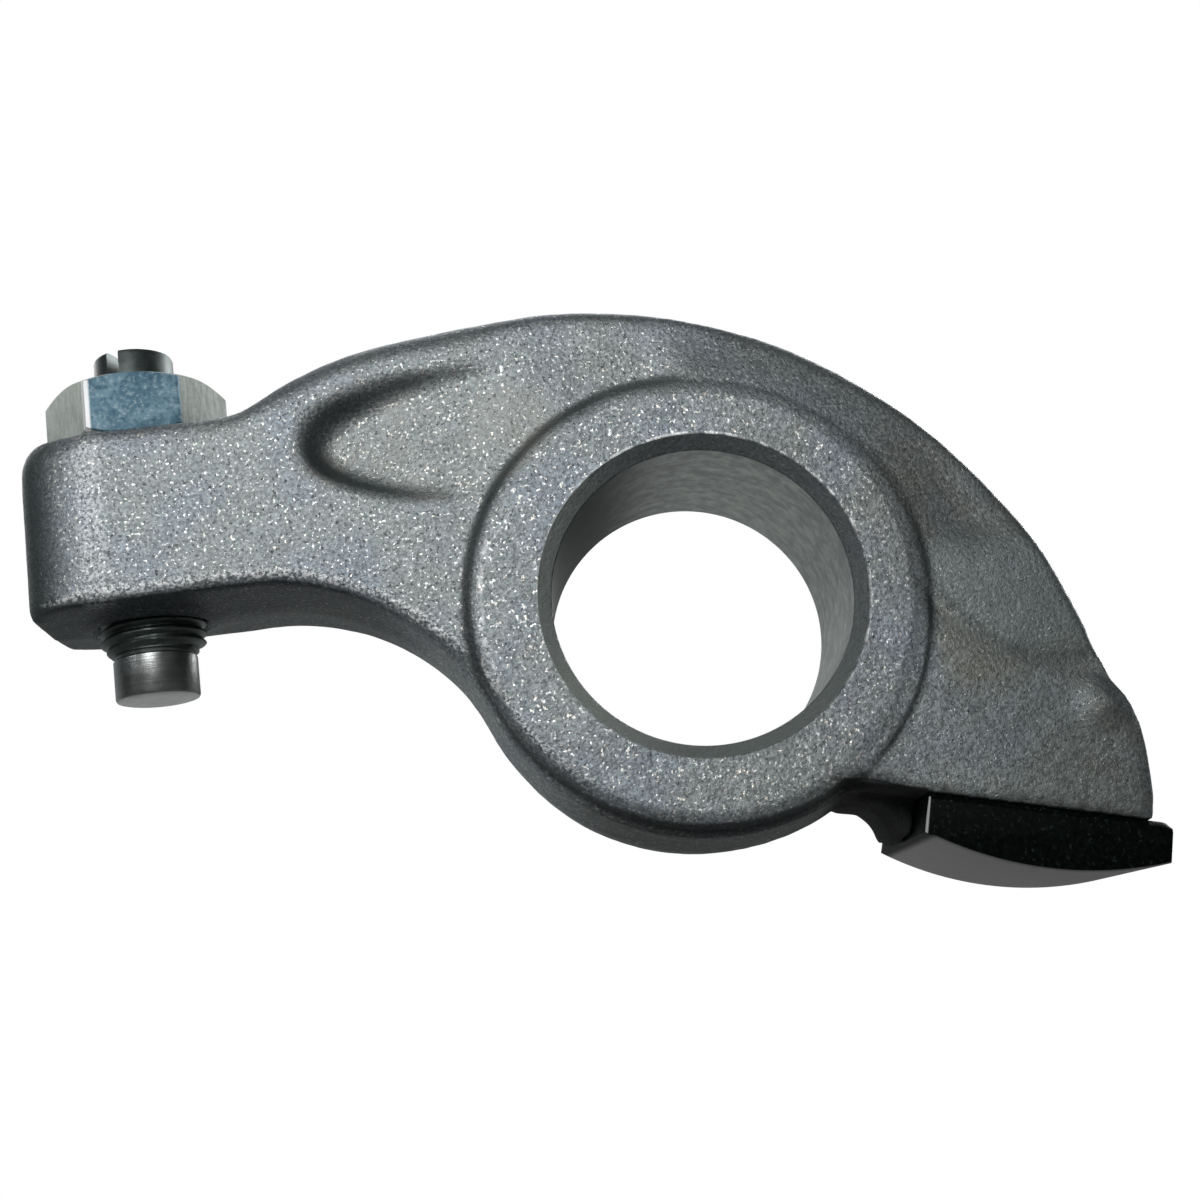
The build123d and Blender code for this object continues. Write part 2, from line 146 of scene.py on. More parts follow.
class Graph:
    """A node tree with one method that makes any node."""

    def __init__(self, tree):
        self.tree = tree

    def put(self, socket, value):
        """Links a value to a socket, or sets the socket's own number or colour."""
        if isinstance(value, Value):
            self.tree.links.new(value.socket, socket)
        elif socket.type == "RGBA":
            socket.default_value = (*value[:3], 1.0)
        else:
            socket.default_value = value

    def make(self, kind, settings=None, sockets=None, out=0):
        """A node of that type: its settings are made first, then its sockets. Gives one of its outputs."""
        node = self.tree.nodes.new(kind)
        for name, value in (settings or {}).items():
            setattr(node, name, value)
        for name, value in (sockets or {}).items():
            self.put(node.inputs[name], value)
        return Value(self, node.outputs[out]) if len(node.outputs) else node

    def math(self, operation, *values):
        return self.make("ShaderNodeMath", {"operation": operation}, dict(enumerate(values)))

    def clamp(self, value):
        return self.make("ShaderNodeClamp", None, {"Value": value})

    def rise(self, value, low, high):
        """0 below low, 1 above high, smooth between. Swapped limits make it fall."""
        span = {"Value": value, "From Min": low, "From Max": high}
        return self.make("ShaderNodeMapRange", {"interpolation_type": "SMOOTHSTEP"}, span)

    def band(self, value, middle, half, soft):
        """1 within half of the middle, fading over soft."""
        return self.rise(self.math("ABSOLUTE", value - middle), half + soft, half)

    def mix(self, factor, first, second):
        """The first colour at a factor of 0, the second at 1."""
        return self.make("ShaderNodeMix", {"data_type": "RGBA"}, {0: factor, 6: first, 7: second}, 2)

    def lay(self, base, marks):
        """A colour with marks laid over it in order, each a mask and a colour."""
        for mask, colour in marks:
            base = self.mix(mask, base, colour)
        return base

    def reach(self, first, second):
        """Length of two distances at a right angle."""
        return self.math("SQRT", first * first + second * second)

    def scaled(self, vector, factors):
        return self.make("ShaderNodeVectorMath", {"operation": "MULTIPLY"}, {0: vector, 1: factors})

    def split(self, vector):
        node = self.tree.nodes.new("ShaderNodeSeparateXYZ")
        self.put(node.inputs[0], vector)
        return [Value(self, socket) for socket in node.outputs]

    def noise(self, vector, scale, detail=2.0, roughness=0.5, distortion=0.0):
        sockets = {"Vector": vector, "Scale": scale, "Detail": detail, "Roughness": roughness}
        return self.make("ShaderNodeTexNoise", None, {**sockets, "Distortion": distortion})

    def bump(self, height):
        """Normal of a height given in millimetres."""
        return self.make("ShaderNodeBump", None, {"Height": height, "Distance": MM, "Strength": 1.0})


def new_material(name):
    """A material, its graph and its object coordinates in millimetres."""
    material = bpy.data.materials.new(name)
    material.use_nodes = True
    material.node_tree.nodes.clear()
    graph = Graph(material.node_tree)
    place = graph.make("ShaderNodeTexCoord", None, None, "Object")
    return material, graph, graph.scaled(place, PER_MM)


def surface(graph, constants, varying):
    """The one shader of a material. Constants sit on its sockets, and varying values are linked."""
    shader = graph.make("ShaderNodeBsdfPrincipled", None, {**constants, **varying})
    graph.make("ShaderNodeOutputMaterial", None, {"Surface": shader})


def round_screw(g, place):
    """Distance from the screw's axis and height, in millimetres."""
    x, y, z = g.split(place)
    return g.reach(x - AXIS_X / MM, y), z


def ring_held(g, right, up):
    """How far the ring's edge keeps its place, by its direction: most on the left and underneath."""
    return g.math("MAXIMUM", g.rise(right, 0.3, -1.0) * 0.6, g.rise(up, -0.1, -0.95) * 0.6)


def from_step_line(g, x, z):
    """Distance outside the arc along which the carrier steps down."""
    return g.reach(x - STEP_AT[0], z - STEP_AT[1]) - STEP_R


def step_zone(g, x, z, start_x):
    """Mask of the part of the arc that shows, from start_x on."""
    return g.rise(x, start_x, start_x + 1.5) * g.rise(z, -9.6, -8.0) * g.rise(z, 3.0, 0.5)


# ---------------- finishes
# colours of what lies on the casting, of the light and shade painted on it, and of its machined faces
DULL_ALLOY = (0.16, 0.18, 0.18)
WARM_GLINT_FLECK = (0.92, 0.88, 0.80)
PIT_SHADE = (0.03, 0.032, 0.035)
CREASE_SHADE = (0.035, 0.038, 0.04)
RING_LINE_SHADE = (0.022, 0.028, 0.03)
STEP_SHADE_COOL = (0.27, 0.335, 0.355)
STEP_BROWN = (0.25, 0.25, 0.20)
STEP_GROOVE_SHADE = (0.045, 0.06, 0.062)
UNDERSIDE_SHADE = (0.011, 0.019, 0.020)
HEEL_SHADOW = (0.004, 0.006, 0.0055)
PAD_END_SHADE = (0.10, 0.112, 0.10)
END_SHADE = (0.07, 0.085, 0.088)
TOP_SHADE = (0.12, 0.138, 0.14)
END_PATCH_GREY = (0.10, 0.12, 0.12)
POCKET_TINT = (0.40, 0.39, 0.33)
POCKET_SHADE = (0.045, 0.058, 0.06)
LOW_EDGE_HIGHLIGHT = (0.90, 0.92, 0.94)
CORNER_HIGHLIGHT = (0.84, 0.87, 0.90)
ROUND_SHADE = (0.06, 0.075, 0.078)
CHAMFER_GREY = (0.125, 0.145, 0.14)
CHAMFER_LIT = (0.24, 0.27, 0.255)
CHAMFER_SHADE = (0.066, 0.076, 0.08)
BORE_DARK = (0.17, 0.19, 0.18)
BORE_PALE = (0.38, 0.41, 0.39)
BORE_SHADE = (0.03, 0.036, 0.035)
BORE_LINES = (0.12, 0.13, 0.13)
RIM_HIGHLIGHT = (0.75, 0.77, 0.79)
RING_RIM_HIGHLIGHT = (0.95, 0.96, 0.97)
SEAT_DARK = (0.24, 0.25, 0.26)
SEAT_PALE = (0.44, 0.45, 0.46)


def casting_places(g, place):
    """Distances in millimetres, directions and masks that the casting's marks share."""
    at = SimpleNamespace(place=place)
    at.x, y, at.z = g.split(place)
    at.side = g.math("ABSOLUTE", y)
    at.radius = g.reach(at.x, at.z)
    at.right, at.up = at.x / at.radius, at.z / at.radius
    at.normal_x, normal_y, at.normal_z = g.split(g.make("ShaderNodeNewGeometry", None, None, "Normal"))
    at.sideways = g.math("ABSOLUTE", normal_y)
    at.from_screw = round_screw(g, place)[0]
    at.bore = g.rise(at.radius, BORE_R + 0.06, BORE_R + 0.01)
    at.chamfer = g.rise(at.radius, CHAMFER_R + 0.10, CHAMFER_R - 0.02) - at.bore
    flat = g.rise(at.z, SEAT_Z + 0.03, SEAT_Z + 0.01) * g.rise(at.z, SEAT_Z - 0.03, SEAT_Z - 0.01)
    at.seat = flat * g.rise(at.from_screw, SEAT_R + 0.05, SEAT_R)
    at.machined = g.clamp(at.bore + at.seat)
    at.cast = 1 - at.machined
    return at


def casting_grain(g, place, finish):
    """The blasted skin's grain, coarser relief, bright flecks that also serve as painted glints, pits and
    slow patches.
    """
    per_mm = finish.grain_scale
    return SimpleNamespace(
        fine=g.noise(place, per_mm, 3.0, 0.65),
        coarse=g.noise(place, per_mm * 0.38, 2.0, 0.6),
        glint_flecks=g.rise(g.noise(place, per_mm * 1.1, 1.5, 0.5), 0.585, 0.72),
        pits=g.rise(g.noise(place, per_mm * 0.9, 2.0, 0.5), 0.37, 0.28),
        patches=g.noise(place, 0.16, 3.0, 0.55),
    )


def skin_colour(g, at, grain, finish):
    """The alloy's colour: cooler patches, brown oil stains, grain and mottling, bright flecks that are partly
    grains and partly painted glints, and painted shade in the pits.
    """
    metal = g.mix(g.rise(grain.patches, 0.35, 0.68), finish.metal_colour, finish.cool_colour)
    brown = g.rise(at.x, -6.0, 26.0) * 0.45 + g.band(at.radius, BOSS_R + 1.2, 0.6, 2.6) * 0.2
    stained = g.rise(g.noise(at.place, 0.10, 2.0, 0.6, 0.4), 0.42, 0.66) * brown + brown * 0.25
    metal = g.mix(g.clamp(stained), metal, finish.oil_colour)
    shaded = g.mix(0.66, metal, (0, 0, 0))
    metal = g.mix(g.rise(grain.fine, 0.30, 0.72) * 0.9 + grain.coarse * 0.1, shaded, metal)
    mottling = g.rise(g.noise(at.place, 0.7, 3.0, 0.6), 0.36, 0.66)
    warm = g.rise(g.noise(at.place, 1.7, 2.0, 0.5), 0.42, 0.6)
    # bright flecks are partly the skin's grains and partly painted glints, fewer towards the right where the
    # light is weaker
    glint_fleck_level = 0.72 - g.rise(at.x, 8.0, 18.0) * 0.34
    return g.lay(metal, [
        (mottling * 0.20, DULL_ALLOY),
        (grain.glint_flecks * glint_fleck_level, g.mix(warm, finish.glint_fleck_colour, WARM_GLINT_FLECK)),
        # painted shade in the pits
        (grain.pits * 0.35, PIT_SHADE),
    ])


def ring_marks(g, at, finish):
    """Painted shade in the crease round the ring, and a sharper painted shadow line on its carrier side."""
    edge = BOSS_R + 0.25 - finish.ring_draw / MM * (1 - ring_held(g, at.right, at.up))
    outside = at.radius - edge
    crease = g.band(outside, 0.0, 0.12, 0.55) * g.rise(at.side, BOSS_HALF - 0.05, BOSS_HALF - 0.25)
    crease = crease * (1 - g.rise(at.up, 0.4, 0.9) * 0.5) * g.rise(at.side, ARM_HALF - 0.9, ARM_HALF - 0.4)
    line = g.band(outside, 0.0, 0.05, 0.24) * g.rise(at.right, 0.5, 0.7)
    line = line * g.rise(at.up, 0.35, 0.1) * g.rise(at.side, ARM_HALF, ARM_HALF + 0.3)
    # painted shade in the crease and a painted shadow line along the ring's edge
    return [(crease * 0.7, CREASE_SHADE), (line * 0.75, RING_LINE_SHADE)]


def carrier_marks(g, at):
    """Painted shade with a cool tint above the carrier's step line, where the web turns down, a brown tint
    below it, and painted shade along its groove.
    """
    outside = from_step_line(g, at.x, at.z)
    zone = step_zone(g, at.x, at.z, 15.5) * g.rise(at.radius, 16.5, 17.1)
    brown = g.rise(outside, 0.1, 0.6) * g.rise(at.x, 24.0, 18.0)
    return [
        # painted shade above the step line and in its groove; the brown below is a tint
        (g.rise(outside, 0.0, -0.5) * zone * 0.35, STEP_SHADE_COOL),
        (brown * zone * 0.35, STEP_BROWN),
        (g.band(outside, 0.0, 0.1, 0.6) * zone * 0.38, STEP_GROOVE_SHADE),
    ]


def heel_shadow_mask(g, at):
    """Mask of the painted shadow in the hollow between the ring and the pad."""
    above_seat = (at.x - PAD_START[0]) * math.tan(PAD_TILT) + at.z - PAD_START[1]
    along = g.rise(at.x, HEEL_X[0], HEEL_X[0] + 2.0) * g.rise(at.x, HEEL_X[1], HEEL_X[1] - 0.6)
    return along * g.rise(above_seat, 0.40, 0.20)


def painted_shade_marks(g, at, grain, heel_shadow):
    """Painted shade on what faces down, the painted shadow by the pad, and painted shade darkening towards
    the pad end, where the light falls off.
    """
    underside_shade = g.rise(0 - at.normal_z, 0.62, 0.92) * (0.62 + grain.patches * 0.3)
    return [
        # painted shade: downward faces, the hollow by the pad, and the pad end
        (underside_shade, UNDERSIDE_SHADE),
        (heel_shadow * 0.985, HEEL_SHADOW),
        (g.rise(at.x, 12.0, 24.0) * 0.42, PAD_END_SHADE),
    ]


def block_marks(g, at, grain):
    """Painted shade on the free end and on the arm's top faces, which turn away from the light, and darker
    grey patches towards the free end.
    """
    end = g.rise(0 - at.normal_x, 0.15, 0.65) * g.rise(at.x, END_X - 0.5, END_X - 3.0)
    top = g.rise(at.normal_z, 0.03, 0.35) * at.cast * (0.6 - g.rise(at.x, -28.0, -34.0) * 0.35)
    patchy = g.rise(at.x, END_X, END_X - 4.0) * g.rise(grain.coarse, 0.30, 0.55)
    return [
        # painted shade on the end and the top; darker grey patches near the end
        (end * 0.74, END_SHADE),
        (top, TOP_SHADE),
        (patchy * 0.35, END_PATCH_GREY),
    ]


def pocket_marks(g, at, grain):
    """Yellowish floor and dark walls of the hollow in the arm."""
    across = (at.x - POCKET_AT[0]) / POCKET_REACH[0]
    along = (at.z - POCKET_AT[1]) / POCKET_REACH[1]
    reach = g.reach(across, along)
    floor = g.rise(reach, 1.0, 0.7) * g.rise(grain.patches, 0.35, 0.6)
    wall = g.rise(reach, 1.2, 1.02) * g.rise(at.sideways, 0.97, 0.65)
    depth = g.rise(along - across, -0.9, 0.5) * 0.45 + 0.35
    return [(floor * 0.35, POCKET_TINT), (wall * depth, POCKET_SHADE)]


def painted_edge_light_marks(g, at, grain):
    """Painted highlights as bright grains on the lower edge and along the block's corner, and painted shade
    on the round beyond it, which turns away from the light.
    """
    low_edge = g.band(0 - at.normal_z, 0.33, 0.14, 0.14) * g.rise(at.sideways, 0.75, 0.85)
    low_edge = low_edge * g.rise(at.x, -8.0, -14.0) * g.rise(at.z, 8.6, 7.8)
    corner = g.band(at.x, END_X, 0.3, 1.2) * g.rise(at.side, 5.8, 7.4)
    return [
        # painted highlights on the edge and the corner, painted shade on the round
        (low_edge * g.rise(grain.fine, 0.42, 0.62) * 0.9, LOW_EDGE_HIGHLIGHT),
        (corner * g.rise(grain.fine, 0.40, 0.62) * 0.4, CORNER_HIGHLIGHT),
        (g.rise(at.x, END_X - 0.7, END_X - 4.9) * 0.66, ROUND_SHADE),
    ]


def machined_marks(g, at, grain, honed, turned):
    """The chamfers' turned edge, painted lit on the left and shaded at the upper right, painted highlights on
    the rims beside them, the honed bore with painted shade on its left, and the spot-faced seat.
    """
    # painted light and shade on the chamfer: lit on the left, shaded towards the upper right
    upper_right = g.rise((at.x + at.z) / at.radius, -0.6, 1.2)
    edge = g.mix(g.rise(at.right, -0.1, -0.9), CHAMFER_GREY, CHAMFER_LIT)
    edge = g.mix(upper_right, edge, CHAMFER_SHADE)
    # painted highlights on the chamfer's outer rim and on the ring's left rim
    rim = g.band(at.radius, CHAMFER_R + 0.10, 0.05, 0.10) * g.rise(at.side, 8.9, 9.1) * upper_right
    rim = rim * g.rise(g.noise(at.place, 1.1), 0.42, 0.6)
    rim_glint = g.band(at.radius, BOSS_R - 1.25, 0.08, 0.25) * g.rise(at.right, -0.88, -0.98)
    rim_glint = rim_glint * g.rise(at.side, 8.6, 9.0) * g.rise(g.noise(at.place, 1.6, 3.0, 0.6), 0.40, 0.62)
    clouds = g.noise(at.place, 0.9, 4.0, 0.65)
    wall = g.mix(g.rise(clouds, 0.35, 0.7), BORE_DARK, BORE_PALE)
    # painted shade on the bore's left wall, which faces away from the light
    oiled = g.rise((at.z * 0.35 - at.x * 0.94) / at.radius, 0.35, 0.98)
    wall = g.mix(oiled * 0.85, wall, BORE_SHADE)
    wall = g.mix(g.rise(honed, 0.3, 0.7) * 0.35, wall, BORE_LINES)
    return [
        (at.chamfer * (0.85 + grain.pits * 0.15), edge),
        (rim, RIM_HIGHLIGHT),
        (rim_glint * 0.5, RING_RIM_HIGHLIGHT),
        (at.bore, wall),
        (at.seat, g.mix(turned, SEAT_DARK, SEAT_PALE)),
    ]


def blasted_casting(finish):
    """Light alloy as cast and blasted, with oil stains, painted shade and highlights, honed bore, turned
    chamfers and spot-faced seat.
    """
    material, g, place = new_material("blasted_casting")
    at = casting_places(g, place)
    grain = casting_grain(g, place, finish)
    honed = g.noise(g.scaled(place, (0.35, 9.0, 0.35)), 1.0, 3.0, 0.6)
    turned = g.noise(g.make("ShaderNodeCombineXYZ", None, {0: at.from_screw}), 7.0, 2.0, 0.6)
    # painted shadow in the hollow between the ring and the pad
    heel_shadow = heel_shadow_mask(g, at)
    marks = ring_marks(g, at, finish) + carrier_marks(g, at) + painted_shade_marks(g, at, grain, heel_shadow)
    marks += block_marks(g, at, grain) + pocket_marks(g, at, grain) + painted_edge_light_marks(g, at, grain)
    marks += machined_marks(g, at, grain, honed, turned)
    rough = at.cast * (0.47 + grain.fine * 0.20) + at.machined * (0.30 + honed * 0.16)
    rough = rough - grain.glint_flecks * at.cast * 0.16 + heel_shadow * 0.4
    relief = (grain.fine * 0.075 + grain.coarse * 0.045 - grain.pits * 0.03) * at.cast
    relief = relief + honed * at.bore * 0.008 + turned * at.seat * 0.012 + at.chamfer * grain.coarse * 0.05
    surface(g, {"IOR": 1.5}, {
        "Base Color": g.lay(skin_colour(g, at, grain, finish), marks),
        "Metallic": finish.metallic * (1 - at.chamfer * 0.85) * (1 - heel_shadow),
        "Roughness": g.clamp(rough),
        "Normal": g.bump(relief),
    })
    return material


def sintered_pad(finish):
    """Near-black sintered block with one ground face: greenish specks, a painted highlight along one edge,
    fine grinding lines.
    """
    material, g, place = new_material("sintered_pad")
    x, y, z = g.split(place)
    long, end, face = finish.length / MM, finish.end_thickness / MM, finish.face_radius / MM
    half_width = finish.half_width / MM
    drop = face - math.sqrt(face**2 - (long / 2) ** 2)
    centre = seat_point(long / 2, -end - drop + face)
    ground = g.rise(g.reach(x - centre[0], z - centre[1]), face - 0.12, face - 0.03)
    face_top = seat_point(long / 2, -end)[1] + 2.0
    ground = ground * g.rise(z, face_top, face_top - 0.4)
    along = (x - PAD_START[0]) * math.cos(PAD_TILT) - (z - PAD_START[1]) * math.sin(PAD_TILT)
    # painted highlight along the pad's front-left edge
    edge = g.rise(along, 0.22, 0.12) * g.rise(g.math("ABSOLUTE", y), half_width - 0.22, half_width - 0.12)

    grain = g.noise(place, 3.2, 3.0, 0.6)
    specks = g.rise(g.noise(place, 2.8, 2.5, 0.6), 0.58, 0.74)
    lines = g.noise(g.scaled(place, (8.0, 0.25, 8.0)), 1.0, 3.0, 0.6)
    block = g.mix(g.rise(grain, 0.35, 0.7), finish.block_colour, (0.0030, 0.0052, 0.0046))
    polished = g.mix(lines, (0.20, 0.20, 0.20), (0.32, 0.32, 0.32))
    marks = [(specks * 0.30, finish.speck_colour), (edge * 0.8, (0.55, 0.58, 0.56)), (ground, polished)]
    surface(g, {"IOR": 1.5, "Specular IOR Level": 0.04}, {
        "Base Color": g.lay(block, marks),
        "Roughness": ground * (0.42 + lines * 0.12) + (1 - ground) * (0.42 + grain * 0.2),
        "Metallic": ground * 0.9,
        "Normal": g.bump(grain * (1 - ground) * 0.03 + lines * ground * 0.003),
    })
    return material


def turned_steel(sizes):
    """Hardened steel, turned and ground: dark oiled thread, bright pin with fine rings, dull slotted end."""
    material, g, place = new_material("turned_steel")
    reach, z = round_screw(g, place)
    rings = g.noise(g.make("ShaderNodeCombineXYZ", None, {0: reach, 2: z}), 11.0, 3.0, 0.65)
    mottle = g.noise(place, 1.4, 4.0, 0.6)
    pin = g.rise(z, sizes.pin_top / MM + 0.1, sizes.pin_top / MM - 0.1)
    top = g.rise(z, sizes.thread_end / MM - 0.2, sizes.thread_end / MM + 0.2)
    flat_end = g.rise(z, sizes.tip / MM + 0.06, sizes.tip / MM + 0.02)
    bright = g.mix(mottle, (0.22, 0.23, 0.23), (0.42, 0.44, 0.44))
    bright = g.mix(g.rise(rings, 0.3, 0.7) * 0.5, bright, (0.16, 0.17, 0.17))
    oiled = g.mix(mottle, (0.05, 0.06, 0.06), (0.16, 0.19, 0.18))
    blackened = g.mix(mottle, (0.035, 0.045, 0.045), (0.13, 0.15, 0.15))
    ground = g.mix(rings, (0.36, 0.37, 0.37), (0.50, 0.51, 0.51))
    colour = g.lay(oiled, [(pin, bright), (top, blackened), (flat_end, ground)])
    surface(g, {"Metallic": 1.0, "IOR": 1.5}, {
        "Base Color": colour,
        "Roughness": 0.26 + mottle * 0.2 + (1 - pin) * 0.12,
        "Normal": g.bump(rings * 0.010 + mottle * 0.01),
    })
    return material


def pale_blue_zinc(finish):
    """Bright zinc plating: mottled blue painted on the flat that faces the front as its reflection,
    green-grey on the other flats, painted lighter on the left and darker on the right, and a painted
    highlight down the front-left corner.
    """
    material, g, place = new_material("pale_blue_zinc")
    x, y, _ = g.split(place)
    blotch = g.noise(place, 0.8, 4.0, 0.62, 0.3)
    fine = g.noise(place, 3.2, 3.0, 0.65)
    streak = g.noise(g.scaled(place, (2.2, 2.2, 0.5)), 1.0, 3.0, 0.6)
    across = x - AXIS_X / MM
    flat = finish.across_flats / MM / 2
    front = finish.turn - math.pi / 2
    # the flat that faces the front gets a painted reflection in mottled blue
    facing = g.rise(across * math.cos(front) + y * math.sin(front), flat - 0.25, flat - 0.08)
    # painted highlight down the front-left corner
    corner_r, corner_turn = flat + 0.85, front - math.pi / 6
    corner_x, corner_y = corner_r * math.cos(corner_turn), corner_r * math.sin(corner_turn)
    corner = g.rise(g.reach(across - corner_x, y - corner_y), 0.42, 0.22)
    blue = g.mix(g.rise(blotch, 0.36, 0.64), finish.front_reflection_blue, finish.front_reflection_pale_blue)
    blue = g.mix(g.rise(fine, 0.52, 0.66) * 0.55, blue, (0.50, 0.60, 0.64))
    blue = g.mix(g.rise(fine, 0.45, 0.30) * 0.7, blue, (0.05, 0.10, 0.15))
    patchy = g.rise(streak * 0.6 + fine * 0.4, 0.38, 0.62)
    # the other flats: painted lighter on the left and darker on the right, by how the light falls
    left_lit_flats = g.mix(patchy, (0.40, 0.46, 0.43), (0.56, 0.62, 0.58))
    right_shaded_flats = g.mix(patchy, (0.14, 0.17, 0.155), (0.28, 0.32, 0.30))
    side_flats = g.mix(g.rise(across, -1.0, 1.0), left_lit_flats, right_shaded_flats)
    surface(g, {"IOR": 1.5}, {
        "Base Color": g.lay(side_flats, [(facing, blue), (corner * 0.9, (0.97, 0.98, 0.99))]),
        "Roughness": 0.58 + blotch * 0.14 + fine * 0.1,
        "Metallic": 0.25 + facing * 0.65,
        "Normal": g.bump(fine * 0.012 + blotch * 0.02),
    })
    return material


# ---------------- mesh helpers
def mesh_from(name, work):
    """A mesh of that name from a finished bmesh, which is freed."""
    mesh = bpy.data.meshes.new(name)
    work.to_mesh(mesh)
    work.free()
    return mesh


def add_object(name, mesh):
    """An object at the origin, linked to the scene."""
    piece = bpy.data.objects.new(name, mesh)
    bpy.context.scene.collection.objects.link(piece)
    return piece


def set_finish(piece, material):
    """Gives the piece its one material."""
    piece.data.materials.clear()
    piece.data.materials.append(material)


def shade_smooth(mesh, angle):
    """Smooth faces with the edges sharper than the angle kept sharp."""
    work = bmesh.new()
    work.from_mesh(mesh)
    for face in work.faces:
        face.smooth = True
    for edge in work.edges:
        edge.smooth = len(edge.link_faces) == 2 and edge.calc_face_angle(0.0) < angle
    work.to_mesh(mesh)
    work.free()


def freeze(piece):
    """Works out the piece's modifiers and leaves it as a plain mesh."""
    bpy.context.view_layer.update()
    ready = piece.evaluated_get(bpy.context.evaluated_depsgraph_get())
    mesh = bpy.data.meshes.new_from_object(ready)
    piece.modifiers.clear()
    piece.data = mesh


def break_edges(piece, width, angle):
    """Rounds the edges that are sharper than the angle."""
    bevel = piece.modifiers.new("Edge break", "BEVEL")
    bevel.width = width
    bevel.segments = 2
    bevel.limit_method = "ANGLE"
    bevel.angle_limit = angle
    freeze(piece)


def cut_away(piece, tool_mesh):
    """Takes a closed tool away from the piece, after its other modifiers."""
    tool = add_object(tool_mesh.name, tool_mesh)
    cut = piece.modifiers.new("Machining", "BOOLEAN")
    cut.operation = "DIFFERENCE"
    cut.solver = "EXACT"
    cut.object = tool
    freeze(piece)
    bpy.data.objects.remove(tool)


def bare_copy(name, source):
    """A new object with the source's mesh, its loose triangles merged."""
    work = bmesh.new()
    work.from_mesh(source.data)
    bmesh.ops.remove_doubles(work, verts=work.verts, dist=0.0005 * MM)
    return add_object(name, mesh_from(name, work))


def turned_mesh(name, profile, axis_x, count):
    """A closed turned mesh. The profile is (radius, height), from the axis at the bottom to it at the top."""
    work = bmesh.new()
    turns = [2 * math.pi * i / count for i in range(count)]
    rings = []
    for radius, height in profile:
        if radius == 0:
            rings.append([work.verts.new((axis_x, 0, height))])
        else:
            spots = [(axis_x + radius * math.cos(a), radius * math.sin(a), height) for a in turns]
            rings.append([work.verts.new(spot) for spot in spots])
    for low, high in zip(rings, rings[1:]):
        for i in range(count):
            j = (i + 1) % count
            corners = [low[i % len(low)], low[j % len(low)], high[j % len(high)], high[i % len(high)]]
            work.faces.new(list(dict.fromkeys(corners)))
    bmesh.ops.recalc_face_normals(work, faces=work.faces)
    return mesh_from(name, work)


def turned_tool(name, profile_mm, axis_x, count, along_bore=False):
    """A turned mesh from millimetres, upright or laid along the bore."""
    mesh = turned_mesh(name, [(radius * MM, height * MM) for radius, height in profile_mm], axis_x, count)
    if along_bore:
        mesh.transform(Matrix.Rotation(math.pi / 2, 4, "X"))
    return mesh


# ---------------- moulded skin and thread, by geometry nodes
def node_tree(name, numbers, whole_numbers=()):
    """A geometry node tree with named inputs. Gives it, its graph and its inputs by name."""
    tree = bpy.data.node_groups.new(name, "GeometryNodeTree")
    inputs = [("Geometry", "NodeSocketGeometry")]
    inputs += [(label, "NodeSocketInt") for label in whole_numbers]
    inputs += [(label, "NodeSocketFloat") for label in numbers]
    inputs.append(("Material", "NodeSocketMaterial"))
    for label, kind in inputs:
        tree.interface.new_socket(label, in_out="INPUT", socket_type=kind)
    tree.interface.new_socket("Geometry", in_out="OUTPUT", socket_type="NodeSocketGeometry")
    graph = Graph(tree)
    entry = tree.nodes.new("NodeGroupInput")
    return tree, graph, {socket.name: Value(graph, socket) for socket in entry.outputs if socket.name}


def close_tree(tree, graph, geometry, material):
    """Ends a tree in real, finished geometry."""
    real = graph.make("GeometryNodeRealizeInstances", None, {"Geometry": geometry})
    done = graph.make("GeometryNodeSetMaterial", None, {"Geometry": real, "Material": material})
    graph.put(tree.nodes.new("NodeGroupOutput").inputs[0], done)
    return tree


